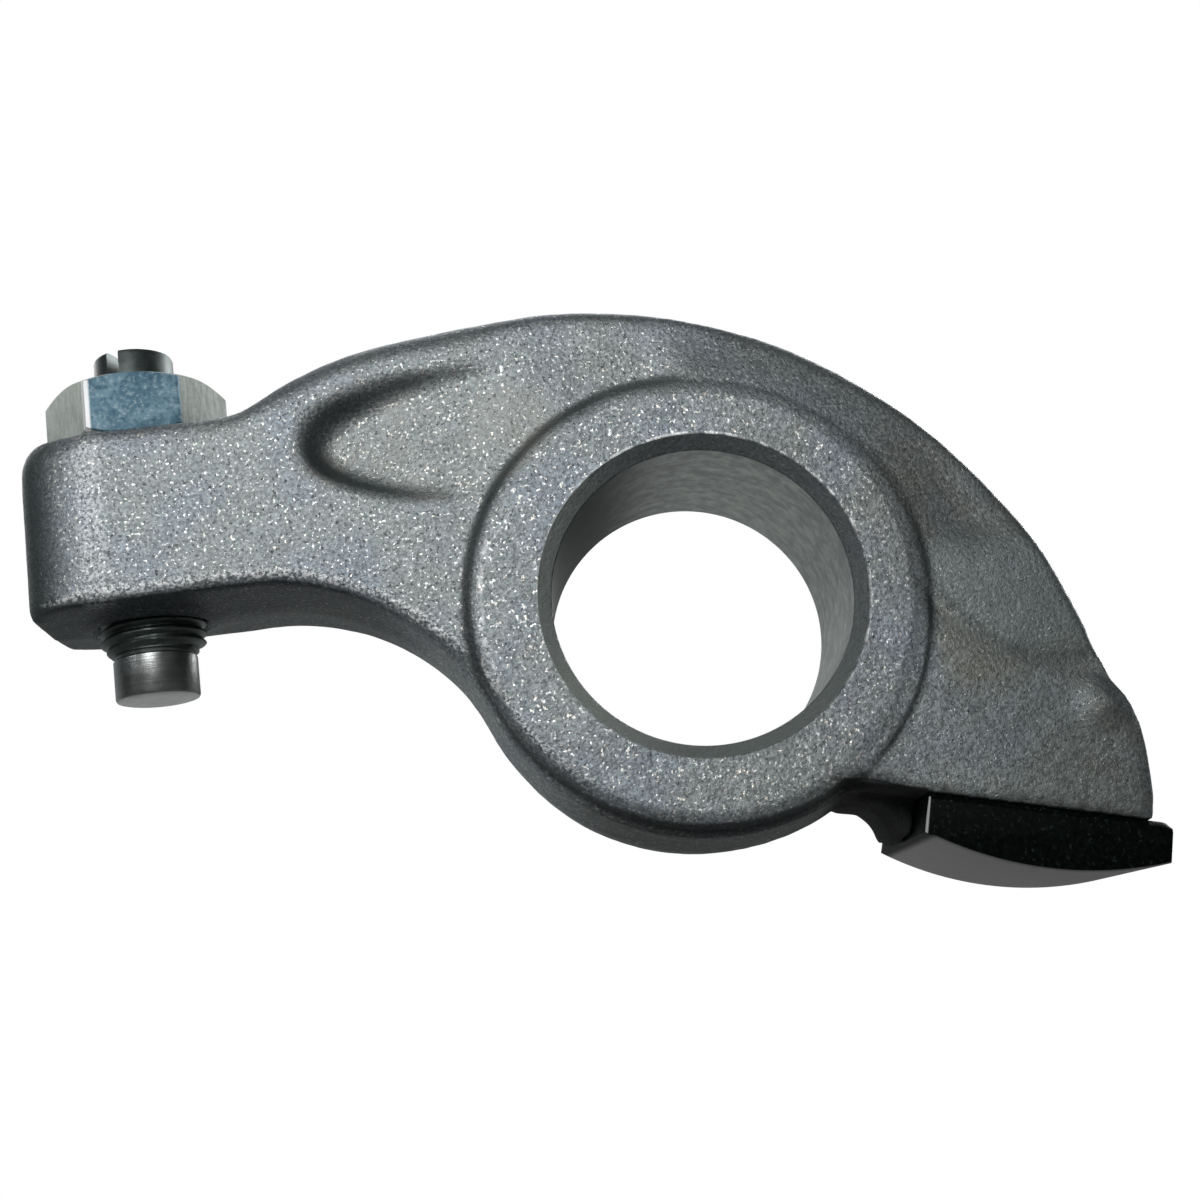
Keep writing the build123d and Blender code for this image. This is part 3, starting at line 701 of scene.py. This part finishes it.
def moulded_skin_tree():
    """Draws the ring in, fills its foot, lifts the stub, then softens the edges and ripples the skin."""
    numbers = ("Softness", "Crease Softness", "Ring Radius", "Ring Draw", "Ripple", "Ripple Size")
    tree, g, given = node_tree("Moulded skin", numbers, ("Passes",))
    place = g.make("GeometryNodeInputPosition")
    x, y, z = g.split(g.scaled(place, PER_MM))
    radius = g.reach(x, z)
    depth = g.math("ABSOLUTE", y)
    outer = g.rise(depth, ARM_HALF - 1.0, ARM_HALF - 0.3)

    c, s = math.cos(CARRIER_TURN), math.sin(CARRIER_TURN)
    toward_carrier = g.rise((x * c + z * s) / radius, 0.35, 0.6)
    beside_carrier = g.rise((x * c - z * s) / radius, 0.75, 0.88)
    foot = (BOSS_HALF - 0.36) - g.rise(radius, 17.6, 21.0) * 0.9 * (1 - beside_carrier)
    lift = g.math("MAXIMUM", foot - depth, 0.0) * g.rise(radius, 16.0, 17.0) * toward_carrier
    from_stub = g.reach(x - STUB_AT[0], z - STUB_AT[1])
    lift = lift + g.rise(from_stub, 2.3, 1.0) * 0.3
    lift = lift - g.band(from_step_line(g, x, z), -0.1, 0.1, 0.7) * step_zone(g, x, z, 16.0) * 0.16
    lift = lift * outer * g.math("SIGN", y)
    drawn = g.rise(radius, 14.4, 16.6) * g.rise(radius, 21.0, 18.2) * outer
    pull = drawn * given["Ring Draw"] * (1 - ring_held(g, x / radius, z / radius)) / (radius * MM)
    shift = g.make("ShaderNodeCombineXYZ", None, {0: 0 - x * pull, 1: lift, 2: 0 - z * pull})
    move = {"Geometry": given["Geometry"], "Offset": g.scaled(shift, (MM, MM, MM))}
    eased = g.make("GeometryNodeSetPosition", None, move)

    near_ring = g.clamp(2 - g.math("ABSOLUTE", radius * MM - given["Ring Radius"]) / (1.2 * MM))
    above_seat = (x - PAD_START[0]) * math.sin(PAD_TILT) + (z - PAD_START[1]) * math.cos(PAD_TILT)
    near_seat = g.rise(g.math("ABSOLUTE", above_seat), 1.5, 0.7) * g.rise(x, 12.0, 13.0)
    crisp = g.math("MAXIMUM", near_seat, g.rise(from_stub, 4.5, 3.0))
    crisp = g.math("MAXIMUM", near_ring, crisp)
    weight = given["Softness"] + crisp * (given["Crease Softness"] - given["Softness"])
    blur = {"Value": place, "Iterations": given["Passes"], "Weight": weight}
    soft = g.make("GeometryNodeBlurAttribute", {"data_type": "FLOAT_VECTOR"}, blur)
    rest = g.make("GeometryNodeSetPosition", None, {"Geometry": eased, "Position": soft})

    wave = g.noise(place, 1 / given["Ripple Size"], 2.0, 0.5) - 0.5
    along = {0: g.make("GeometryNodeInputNormal"), "Scale": wave * given["Ripple"]}
    ripple = g.make("ShaderNodeVectorMath", {"operation": "SCALE"}, along)
    moved = g.make("GeometryNodeSetPosition", None, {"Geometry": rest, "Offset": ripple})
    return close_tree(tree, g, moved, given["Material"])


def helical_thread_tree():
    """Presses a helical thread into the outside of a turned mesh."""
    numbers = ("Axis X", "Pitch", "Depth", "Core Radius", "Start", "End", "Run-out")
    tree, g, given = node_tree("Helical thread", numbers)
    x, y, z = g.split(g.make("GeometryNodeInputPosition"))
    across = x - given["Axis X"]
    reach = g.reach(across, y)
    turn = g.math("ARCTAN2", y, across) / (2 * math.pi)
    phase = g.math("FRACT", z / given["Pitch"] - turn)
    tooth = g.clamp((g.math("ABSOLUTE", phase * 2 - 1) - 0.12) / 0.72)
    fade_in = g.clamp((z - given["Start"]) / given["Run-out"])
    fade_out = g.clamp((given["End"] - z) / given["Run-out"])
    spare = g.math("MAXIMUM", reach - given["Core Radius"], 0.0)
    cut = g.math("MINIMUM", given["Depth"] * (1 - tooth) * (fade_in * fade_out), spare)
    away = g.make("ShaderNodeCombineXYZ", None, {0: across / reach, 1: y / reach})
    move = g.make("ShaderNodeVectorMath", {"operation": "SCALE"}, {0: away, "Scale": 0 - cut})
    moved = g.make("GeometryNodeSetPosition", None, {"Geometry": given["Geometry"], "Offset": move})
    return close_tree(tree, g, moved, given["Material"])


def add_nodes(piece, tree, values):
    """A geometry nodes modifier with its named inputs set."""
    modifier = piece.modifiers.new(tree.name, "NODES")
    modifier.node_group = tree
    for item in tree.interface.items_tree:
        if item.item_type == "SOCKET" and item.in_out == "INPUT" and item.name in values:
            modifier[item.identifier] = values[item.name]


# ---------------- sizes and colours a user would change
def number(name, about, default, **kind):
    """A number, with what else its field needs."""
    return bpy.props.FloatProperty(name=name, description=about, default=default, **kind)


def length(name, about, default):
    """A number in metres."""
    return number(name, about, default, unit="LENGTH", precision=5)


def colour(name, about, default):
    """A colour picked from a swatch."""
    return bpy.props.FloatVectorProperty(
        name=name, description=about, default=default, subtype="COLOR", size=3, min=0.0, max=1.0
    )


class CastingFinish(bpy.types.PropertyGroup):
    metal_colour: colour("Metal", "Colour of the blasted alloy", (0.455, 0.505, 0.518))
    cool_colour: colour("Cool metal", "Colour of the bluer patches", (0.415, 0.475, 0.54))
    oil_colour: colour("Oil stain", "Brown tint in the hollows", (0.31, 0.305, 0.26))
    # colour of the bright flecks, which are partly painted glints
    glint_fleck_colour: colour("Flecks", "Colour of the bright grains", (0.88, 0.90, 0.92))
    grain_scale: number("Grain per mm", "How many grains of the blasted skin fit a millimetre", 3.6)
    metallic: number("Metallic", "How metallic the skin is", 0.8, subtype="FACTOR", min=0, max=1)
    skin_step: length("Skin step", "Size of the moulded skin's even cells", 0.34 * MM)
    soft_passes: bpy.props.IntProperty(
        name="Soft passes", description="How often the edges are softened", default=6
    )
    softness: number("Softness", "Strength of each softening", 0.55)
    crease_softness: number("Ring softness", "The same beside the ring, the pad seat and the stub", 0.08)
    ring_draw: length("Ring draw", "How far the ring's edge is drawn in", 1.2 * MM)
    ripple: length("Ripple", "Depth of the skin's unevenness", 0.12 * MM)
    ripple_size: length("Ripple size", "Width of one ripple", 2.2 * MM)
    bore_plug_radius: length("Bore plug", "Radius of the metal that the bore is cut from", 12.6 * MM)
    hole_plug_radius: length("Hole plug", "Radius of the metal that the hole is cut from", 4.9 * MM)


class PadFinish(bpy.types.PropertyGroup):
    length: length("Length", "Length of the pad along its seat", 17.4 * MM)
    half_width: length("Half width", "Half the width of the pad", 8.9 * MM)
    end_thickness: length("End thickness", "Thickness at both ends", 2.85 * MM)
    face_radius: length("Face radius", "Radius of the ground face", 26.0 * MM)
    edge_break: length("Edge break", "Small rounding of the pad's edges", 0.16 * MM)
    end_round: length("End round", "Rounding of the upper outer edge", 0.7 * MM)
    joint_break: length("Joint break", "Chamfer along the joint with the casting", 0.45 * MM)
    block_colour: colour("Block", "Colour of the sintered block", (0.0009, 0.0018, 0.0016))
    speck_colour: colour("Specks", "Colour of its grains", (0.07, 0.10, 0.085))


class ScrewSizes(bpy.types.PropertyGroup):
    pitch: length("Pitch", "Rise of the thread in one turn", 0.75 * MM)
    depth: length("Thread depth", "Depth of the thread's groove", 0.38 * MM)
    tip: length("Tip", "Height of the flat end", SCREW_LOW.z)
    top: length("Top", "Height of the slotted end", SCREW_HIGH.z)
    pin_radius: length("Pin radius", "Radius of the plain pin", 3.15 * MM)
    pin_top: length("Pin top", "Where the pin meets the groove", 2.2 * MM)
    edge_break: length("Edge break", "Small rounding of the pin and the slotted end", 0.15 * MM)
    lead_slope: number("Lead slope", "Slope of the thread's coned lead", 0.9)
    thread_start: length("Thread start", "Where the thread begins", 2.35 * MM)
    thread_end: length("Thread end", "Where the thread stops", 22.4 * MM)
    top_radius: length("Top radius", "Radius of the slotted end", 3.05 * MM)
    slot_width: length("Slot width", "Width of the driver slot", 1.0 * MM)
    slot_depth: length("Slot depth", "Depth of the driver slot", 2.0 * MM)
    slot_turn: number("Slot turn", "Slot's angle from the bore axis", math.radians(-19), subtype="ANGLE")


class NutSizes(bpy.types.PropertyGroup):
    across_flats: length("Across flats", "Width across the flats", 12.0 * MM)
    turn: number("Turn", "Turn of the hexagon about the screw", math.radians(9), subtype="ANGLE")
    chamfer_radius: length("Chamfer radius", "Where the 30 degree chamfer starts", 5.9 * MM)
    bore_radius: length("Bore radius", "Radius of the nut's hole", THREAD_R + 0.03 * MM)
    mouth: length("Mouth", "Countersink at both ends of the hole", 0.5 * MM)
    edge_break: length("Edge break", "Small rounding of the plated edges", 0.10 * MM)
    # blues of the painted reflection on the flat that faces the front
    front_reflection_blue: colour("Blue", "Deep blue of the passivate", (0.10, 0.19, 0.26))
    front_reflection_pale_blue: colour("Light blue", "Paler blue of the passivate", (0.22, 0.35, 0.43))


class StageSettings(bpy.types.PropertyGroup):
    floor_gap: length("Floor gap", "How far the floor is below the part", 36 * MM)
    key_power: number("Key light", "Power of the main lamp", 0.43, unit="POWER")
    crown_power: number("Crown light", "Power of the large soft lamp above", 0.9, unit="POWER")
    edge_power: number("Edge light", "Power of the lamp at the free end", 0.10, unit="POWER")
    back_power: number("Back light", "Power of the lamp behind", 0.8, unit="POWER")
    side_power: number("Side lights", "Power of the two side lamps", 0.16, unit="POWER")
    room_level: number("Room", "Level of the room's own light", 0.08)
    back_level: number("Back", "Level of the floor behind, as reflected", 0.45)
    sky_level: number("Sky", "Level of the surround behind, as reflected", 0.34)


# ---------------- operators
class ROCKER_OT_casting(bpy.types.Operator):
    """Mould the casting's skin, machine its bore, hole and seat, and give it its blasted finish"""

    bl_idname = "rocker.casting"
    bl_label = "Finish casting"

    def execute(self, context):
        s = context.scene.rocker_casting
        skin = bare_copy("rocker_arm_cast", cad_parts["rocker_arm"])
        bore_plug_r, hole_plug_r = s.bore_plug_radius / MM, s.hole_plug_radius / MM
        bore_plug = [(0, -BOSS_HALF), (bore_plug_r, -BOSS_HALF), (bore_plug_r, BOSS_HALF), (0, BOSS_HALF)]
        hole_plug = [(0, BLOCK_LOW_Z), (hole_plug_r, BLOCK_LOW_Z), (hole_plug_r, SEAT_Z), (0, SEAT_Z)]
        work = bmesh.new()
        work.from_mesh(skin.data)
        work.from_mesh(turned_tool("bore_plug", bore_plug, axis_x=0, count=96, along_bore=True))
        work.from_mesh(turned_tool("hole_plug", hole_plug, axis_x=AXIS_X, count=48))
        work.to_mesh(skin.data)
        work.free()
        remesh = skin.modifiers.new("Even skin", "REMESH")
        remesh.mode = "VOXEL"
        remesh.voxel_size = s.skin_step
        remesh.use_smooth_shade = True
        casting = blasted_casting(s)
        add_nodes(skin, moulded_skin_tree(), {
            "Passes": s.soft_passes,
            "Softness": s.softness,
            "Crease Softness": s.crease_softness,
            "Ring Radius": BOSS_R * MM - s.ring_draw,
            "Ring Draw": s.ring_draw,
            "Ripple": s.ripple,
            "Ripple Size": s.ripple_size,
            "Material": casting,
        })
        freeze(skin)

        past = 3.0
        bore = [(0, -BOSS_HALF - past), (CHAMFER_R + past, -BOSS_HALF - past)]
        bore.append((BORE_R, -BOSS_HALF + CHAMFER_R - BORE_R))
        bore += [(radius, -height) for radius, height in reversed(bore)]
        mouth_r = HOLE_R + HOLE_MOUTH
        drill = [(0, BLOCK_LOW_Z - past), (mouth_r + past, BLOCK_LOW_Z - past)]
        drill += [(HOLE_R, BLOCK_LOW_Z + HOLE_MOUTH), (HOLE_R, SEAT_Z - HOLE_MOUTH), (mouth_r, SEAT_Z)]
        clear_z = 30.0
        drill += [(SEAT_R, SEAT_Z), (SEAT_R, clear_z), (0, clear_z)]
        cut_away(skin, turned_tool("bore_tool", bore, axis_x=0, count=192, along_bore=True))
        cut_away(skin, turned_tool("drill_tool", drill, axis_x=AXIS_X, count=96))
        shade_smooth(skin.data, math.radians(40))
        set_finish(skin, casting)
        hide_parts("rocker_arm")
        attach(skin, "arm")
        return {"FINISHED"}


class ROCKER_OT_pad(bpy.types.Operator):
    """Build the slipper pad with its ground face"""

    bl_idname = "rocker.pad"
    bl_label = "Build pad"

    def execute(self, context):
        s = context.scene.rocker_pad
        end, radius, long, corner = s.end_thickness / MM, s.face_radius / MM, s.length / MM, s.end_round / MM
        half_angle = math.asin(long / 2 / radius)
        drop = radius - math.sqrt(radius**2 - (long / 2) ** 2)
        outline = [seat_point(0), seat_point(long - corner)]
        corner_steps, arc_steps = 4, 40
        for step in range(1, corner_steps + 1):
            a = math.pi / 2 * step / corner_steps
            outline.append(seat_point(long - corner + corner * math.sin(a), -corner + corner * math.cos(a)))
        for step in range(arc_steps + 1):
            a = half_angle * (1 - 2 * step / arc_steps)
            height = -end - drop + radius * (1 - math.cos(a))
            outline.append(seat_point(long / 2 + radius * math.sin(a), height))
        lowered = [(px, min(pz, shelf_height(px, s.joint_break / MM))) for px, pz in outline]
        inner = s.half_width - s.joint_break
        rows = 12
        places = [-s.half_width, *(inner * (2 * row / rows - 1) for row in range(rows + 1)), s.half_width]
        work = bmesh.new()
        loops = []
        for y in places:
            shape = lowered if abs(y) == s.half_width else outline
            loops.append([work.verts.new((px * MM, y, pz * MM)) for px, pz in shape])
        for near, far in zip(loops, loops[1:]):
            for i in range(len(outline)):
                j = (i + 1) % len(outline)
                work.faces.new((near[i], near[j], far[j], far[i]))
        work.faces.new(loops[0])
        work.faces.new(list(reversed(loops[-1])))
        bmesh.ops.recalc_face_normals(work, faces=work.faces)
        pad = add_object("slipper_pad_ground", mesh_from("slipper_pad_ground", work))
        break_edges(pad, s.edge_break, math.radians(30))
        shade_smooth(pad.data, math.radians(35))
        set_finish(pad, sintered_pad(s))
        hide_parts("slipper_pad")
        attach(pad, "arm")
        return {"FINISHED"}


class ROCKER_OT_screw(bpy.types.Operator):
    """Build the adjusting screw with its pressed thread, plain pin and driver slot"""

    bl_idname = "rocker.screw"
    bl_label = "Build screw"

    def execute(self, context):
        s = context.scene.rocker_screw
        edge = s.edge_break
        groove = s.pin_radius - 0.1 * MM
        profile = [(0, s.tip), (s.pin_radius * 0.5, s.tip), (s.pin_radius - 2 * edge, s.tip)]
        profile += [(s.pin_radius - 0.6 * edge, s.tip + 0.4 * edge), (s.pin_radius, s.tip + 1.4 * edge)]
        profile += [(s.pin_radius, s.pin_top - 1.6 * edge), (s.pin_radius - edge, s.pin_top - 0.4 * edge)]
        profile += [(groove, s.pin_top + edge), (groove, s.thread_start)]
        first, last = s.thread_start + 0.05 * MM, s.thread_end - 0.9 * MM
        rows_a_turn = 14
        rows = round((last - first) / s.pitch * rows_a_turn)
        for i in range(rows + 1):
            height = first + (last - first) * i / rows
            profile.append((min(THREAD_R, groove + 0.25 * MM + (height - first) * s.lead_slope), height))
        profile += [(s.top_radius + edge, s.thread_end), (s.top_radius, s.thread_end + edge)]
        profile += [(s.top_radius, s.top - 2 * edge), (s.top_radius - 0.6 * edge, s.top - 0.6 * edge)]
        profile += [(s.top_radius - 2 * edge, s.top), (s.top_radius * 0.5, s.top), (0, s.top)]
        steel = turned_steel(s)
        name = "adjusting_screw_turned"
        screw = add_object(name, turned_mesh(name, profile, AXIS_X, count=72))
        add_nodes(screw, helical_thread_tree(), {
            "Axis X": AXIS_X,
            "Pitch": s.pitch,
            "Depth": s.depth,
            "Core Radius": groove,
            "Start": s.thread_start,
            "End": last,
            "Run-out": 0.6 * s.pitch,
            "Material": steel,
        })
        work = bmesh.new()
        bmesh.ops.create_cube(work, size=1.0)
        size = Matrix.Diagonal((s.slot_width, 4 * s.top_radius, 2 * s.slot_depth, 1))
        place = Matrix.Translation((AXIS_X, 0, s.top)) @ Matrix.Rotation(s.slot_turn, 4, "Z") @ size
        bmesh.ops.transform(work, matrix=place, verts=work.verts)
        cut_away(screw, mesh_from("slot_cutter", work))
        shade_smooth(screw.data, math.radians(38))
        set_finish(screw, steel)
        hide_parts("adjusting_screw")
        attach(screw, "screw")
        return {"FINISHED"}


class ROCKER_OT_nut(bpy.types.Operator):
    """Build the zinc-plated lock nut with its chamfered corners"""

    bl_idname = "rocker.nut"
    bl_label = "Build nut"

    def execute(self, context):
        s = context.scene.rocker_nut
        low, high = NUT_LOW.z, NUT_HIGH.z
        slope = math.tan(math.radians(30))
        count = 96
        sector = math.pi / 3
        mouth_r = s.bore_radius + s.mouth
        work = bmesh.new()
        columns = []
        for i in range(count):
            angle = 2 * math.pi * i / count
            within = (angle + sector / 2) % sector - sector / 2
            reach = s.across_flats / 2 / math.cos(sector / 2 - abs(within))
            drop = max(0.0, (reach - s.chamfer_radius) * slope)
            half = [(s.bore_radius, s.mouth), (mouth_r, 0), (s.chamfer_radius, 0), (reach, drop)]
            spots = [(r, low + inset) for r, inset in half]
            spots += [(r, high - inset) for r, inset in reversed(half)]
            c, d = math.cos(angle + s.turn), math.sin(angle + s.turn)
            columns.append([work.verts.new((AXIS_X + r * c, r * d, height)) for r, height in spots])
        for near, far in zip(columns, columns[1:] + columns[:1]):
            for k in range(len(near)):
                m = (k + 1) % len(near)
                work.faces.new((near[k], near[m], far[m], far[k]))
        bmesh.ops.recalc_face_normals(work, faces=work.faces)
        nut = add_object("lock_nut_plated", mesh_from("lock_nut_plated", work))
        break_edges(nut, s.edge_break, math.radians(28))
        shade_smooth(nut.data, math.radians(25))
        set_finish(nut, pale_blue_zinc(s))
        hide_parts("lock_nut")
        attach(nut, "nut")
        return {"FINISHED"}


# ---------------- stage
def area_light(name, place, aim, size, power, tint):
    """A rectangular lamp that the camera doesn't see, turned to what it aims at."""
    lamp = bpy.data.lights.new(name, "AREA")
    lamp.shape = "RECTANGLE"
    lamp.size, lamp.size_y = size
    lamp.energy = power
    lamp.color = tint
    light = bpy.data.objects.new(name, lamp)
    light.location = place
    light.rotation_mode = "QUATERNION"
    light.rotation_quaternion = (Vector(aim) - Vector(place)).to_track_quat("-Z", "Y")
    light.visible_camera = False
    bpy.context.scene.collection.objects.link(light)


def light_rays(graph):
    """The Light Path outputs: camera, glossy and transmission rays."""
    path = graph.tree.nodes.new("ShaderNodeLightPath")
    names = ("Is Camera Ray", "Is Glossy Ray", "Is Transmission Ray")
    return [Value(graph, path.outputs[name]) for name in names]


def pale_floor(s):
    """Near-white matt floor that runs out into white, dim to other rays, with a reflected glow behind."""
    material, g, place = new_material("pale_floor")
    seen, glossy, _ = light_rays(g)
    x, y, _ = g.split(place)
    matt = g.make("ShaderNodeBsdfDiffuse", None, {"Color": g.mix(seen, (0.15,) * 3, (0.86,) * 3)})
    back = g.rise(y, 30, 220) * g.rise(x, 140, 0) * glossy * s.back_level
    back = g.make("ShaderNodeCombineXYZ", None, {0: back, 1: back, 2: back})
    lift = g.mix(seen, g.scaled(back, (0.97, 1.0, 0.98)), (0.72,) * 3)
    pale = g.make("ShaderNodeEmission", None, {"Color": lift, "Strength": 1.0})
    near = g.make("ShaderNodeAddShader", None, {0: matt, 1: pale})
    white = g.make("ShaderNodeEmission", None, {"Color": (1, 1, 1), "Strength": 1.0})
    far_off = g.rise(g.reach(x, y), 90, 160) * seen
    blend = g.make("ShaderNodeMixShader", None, {0: far_off, 1: near, 2: white})
    g.make("ShaderNodeOutputMaterial", None, {"Surface": blend})
    return material


def white_surround(s):
    """World that is white to the camera and dim to the part, with a pale sky behind in reflections."""
    world = bpy.data.worlds.new("white_surround")
    world.use_nodes = True
    world.node_tree.nodes.clear()
    g = Graph(world.node_tree)
    camera_ray, glossy_ray, clear_ray = light_rays(g)
    x, y, _ = g.split(g.make("ShaderNodeTexCoord", None, None, "Generated"))
    behind = g.rise(y, 0.0, 0.8) * g.rise(x, 0.45, -0.25) * s.sky_level
    level = g.clamp(camera_ray + clear_ray + glossy_ray * behind + s.room_level)
    tint = g.mix(camera_ray, (0.93, 0.98, 1.0), (1, 1, 1))
    light = g.make("ShaderNodeBackground", None, {"Color": tint, "Strength": level})
    g.make("ShaderNodeOutputWorld", None, {"Surface": light})
    return world


class ROCKER_OT_stage(bpy.types.Operator):
    """Set the pale floor, the soft lamps, the white surround and the camera"""

    bl_idname = "rocker.stage"
    bl_label = "Build stage"

    def execute(self, context):
        s = context.scene.rocker_stage
        scene = context.scene
        work = bmesh.new()
        bmesh.ops.create_circle(work, cap_ends=True, segments=96, radius=4.0)
        floor = add_object("floor", mesh_from("floor", work))
        floor.location.z = CAD_BOX[0].z - s.floor_gap
        set_finish(floor, pale_floor(s))
        scene.world = white_surround(s)

        warm, cool, plain = (1.0, 0.99, 0.97), (0.96, 0.98, 1.0), (1.0, 1.0, 0.99)
        middle, screw_side = (0, 0, 0), (-0.01, 0, 0)
        area_light("key", (-0.065, -0.257, 0.10), screw_side, (0.08, 0.08), s.key_power, warm)
        area_light("edge", (-0.27, -0.20, 0.12), (-0.02, 0, 0), (0.05, 0.12), s.edge_power, (0.98, 0.99, 1.0))
        area_light("crown", (0.04, 0.27, 0.38), middle, (0.30, 0.30), s.crown_power, cool)
        area_light("back", (0.19, 0.20, 0.13), screw_side, (0.14, 0.14), s.back_power, warm)
        area_light("back_left", (-0.20, 0.19, 0.15), screw_side, (0.12, 0.12), s.side_power, warm)
        area_light("right", (0.27, 0.12, 0.08), middle, (0.12, 0.12), s.side_power, plain)

        lens = bpy.data.cameras.new("camera")
        lens.sensor_width = 36.0
        lens.lens = 52.4675
        lens.clip_start, lens.clip_end = 0.01, 20.0
        camera = bpy.data.objects.new("camera", lens)
        right = Vector((0.99130332, -0.0204637, -0.12999605))
        ahead = Vector((0.04887492, 0.9744303, 0.21930992))
        up = Vector((0.1221842, -0.2237562, 0.96695614))
        place = Matrix.Translation((-0.01365694, -0.13177817, -0.02721607))
        camera.matrix_world = place @ Matrix((right, up, -ahead)).transposed().to_4x4()
        scene.collection.objects.link(camera)
        scene.camera = camera
        scene.view_settings.view_transform = "Standard"
        return {"FINISHED"}


class ROCKER_PT_panel(bpy.types.Panel):
    """Lists the rocker arm's builders with their sizes and colours"""

    bl_idname = "ROCKER_PT_panel"
    bl_label = "Rocker arm"
    bl_space_type = "VIEW_3D"
    bl_region_type = "UI"
    bl_category = "Rocker Arm"

    def draw(self, context):
        for operator, group in STEPS:
            box = self.layout.box()
            settings = getattr(context.scene, group)
            for name in settings.bl_rna.properties.keys():
                if name not in ("rna_type", "name"):
                    box.prop(settings, name)
            box.operator(operator.bl_idname)


STEPS = (
    (ROCKER_OT_casting, "rocker_casting"),
    (ROCKER_OT_pad, "rocker_pad"),
    (ROCKER_OT_screw, "rocker_screw"),
    (ROCKER_OT_nut, "rocker_nut"),
    (ROCKER_OT_stage, "rocker_stage"),
)
GROUPS = {
    "rocker_casting": CastingFinish,
    "rocker_pad": PadFinish,
    "rocker_screw": ScrewSizes,
    "rocker_nut": NutSizes,
    "rocker_stage": StageSettings,
}
CLASSES = (*GROUPS.values(), *(operator for operator, _ in STEPS), ROCKER_PT_panel)


def register():
    """Registers the classes and hangs their settings on the scene."""
    for item in CLASSES:
        bpy.utils.register_class(item)
    for name, group in GROUPS.items():
        setattr(bpy.types.Scene, name, bpy.props.PointerProperty(type=group))


def unregister():
    """Undoes what register did."""
    for name in GROUPS:
        delattr(bpy.types.Scene, name)
    for item in reversed(CLASSES):
        bpy.utils.unregister_class(item)


def main():
    """Registers the add-on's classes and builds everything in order."""
    register()
    for operator, _ in STEPS:
        area, name = operator.bl_idname.split(".")
        result = getattr(getattr(bpy.ops, area), name)()
        if result != {"FINISHED"}:
            raise RuntimeError(operator.bl_label + " did not finish")


if __name__ == "__main__":
    main()
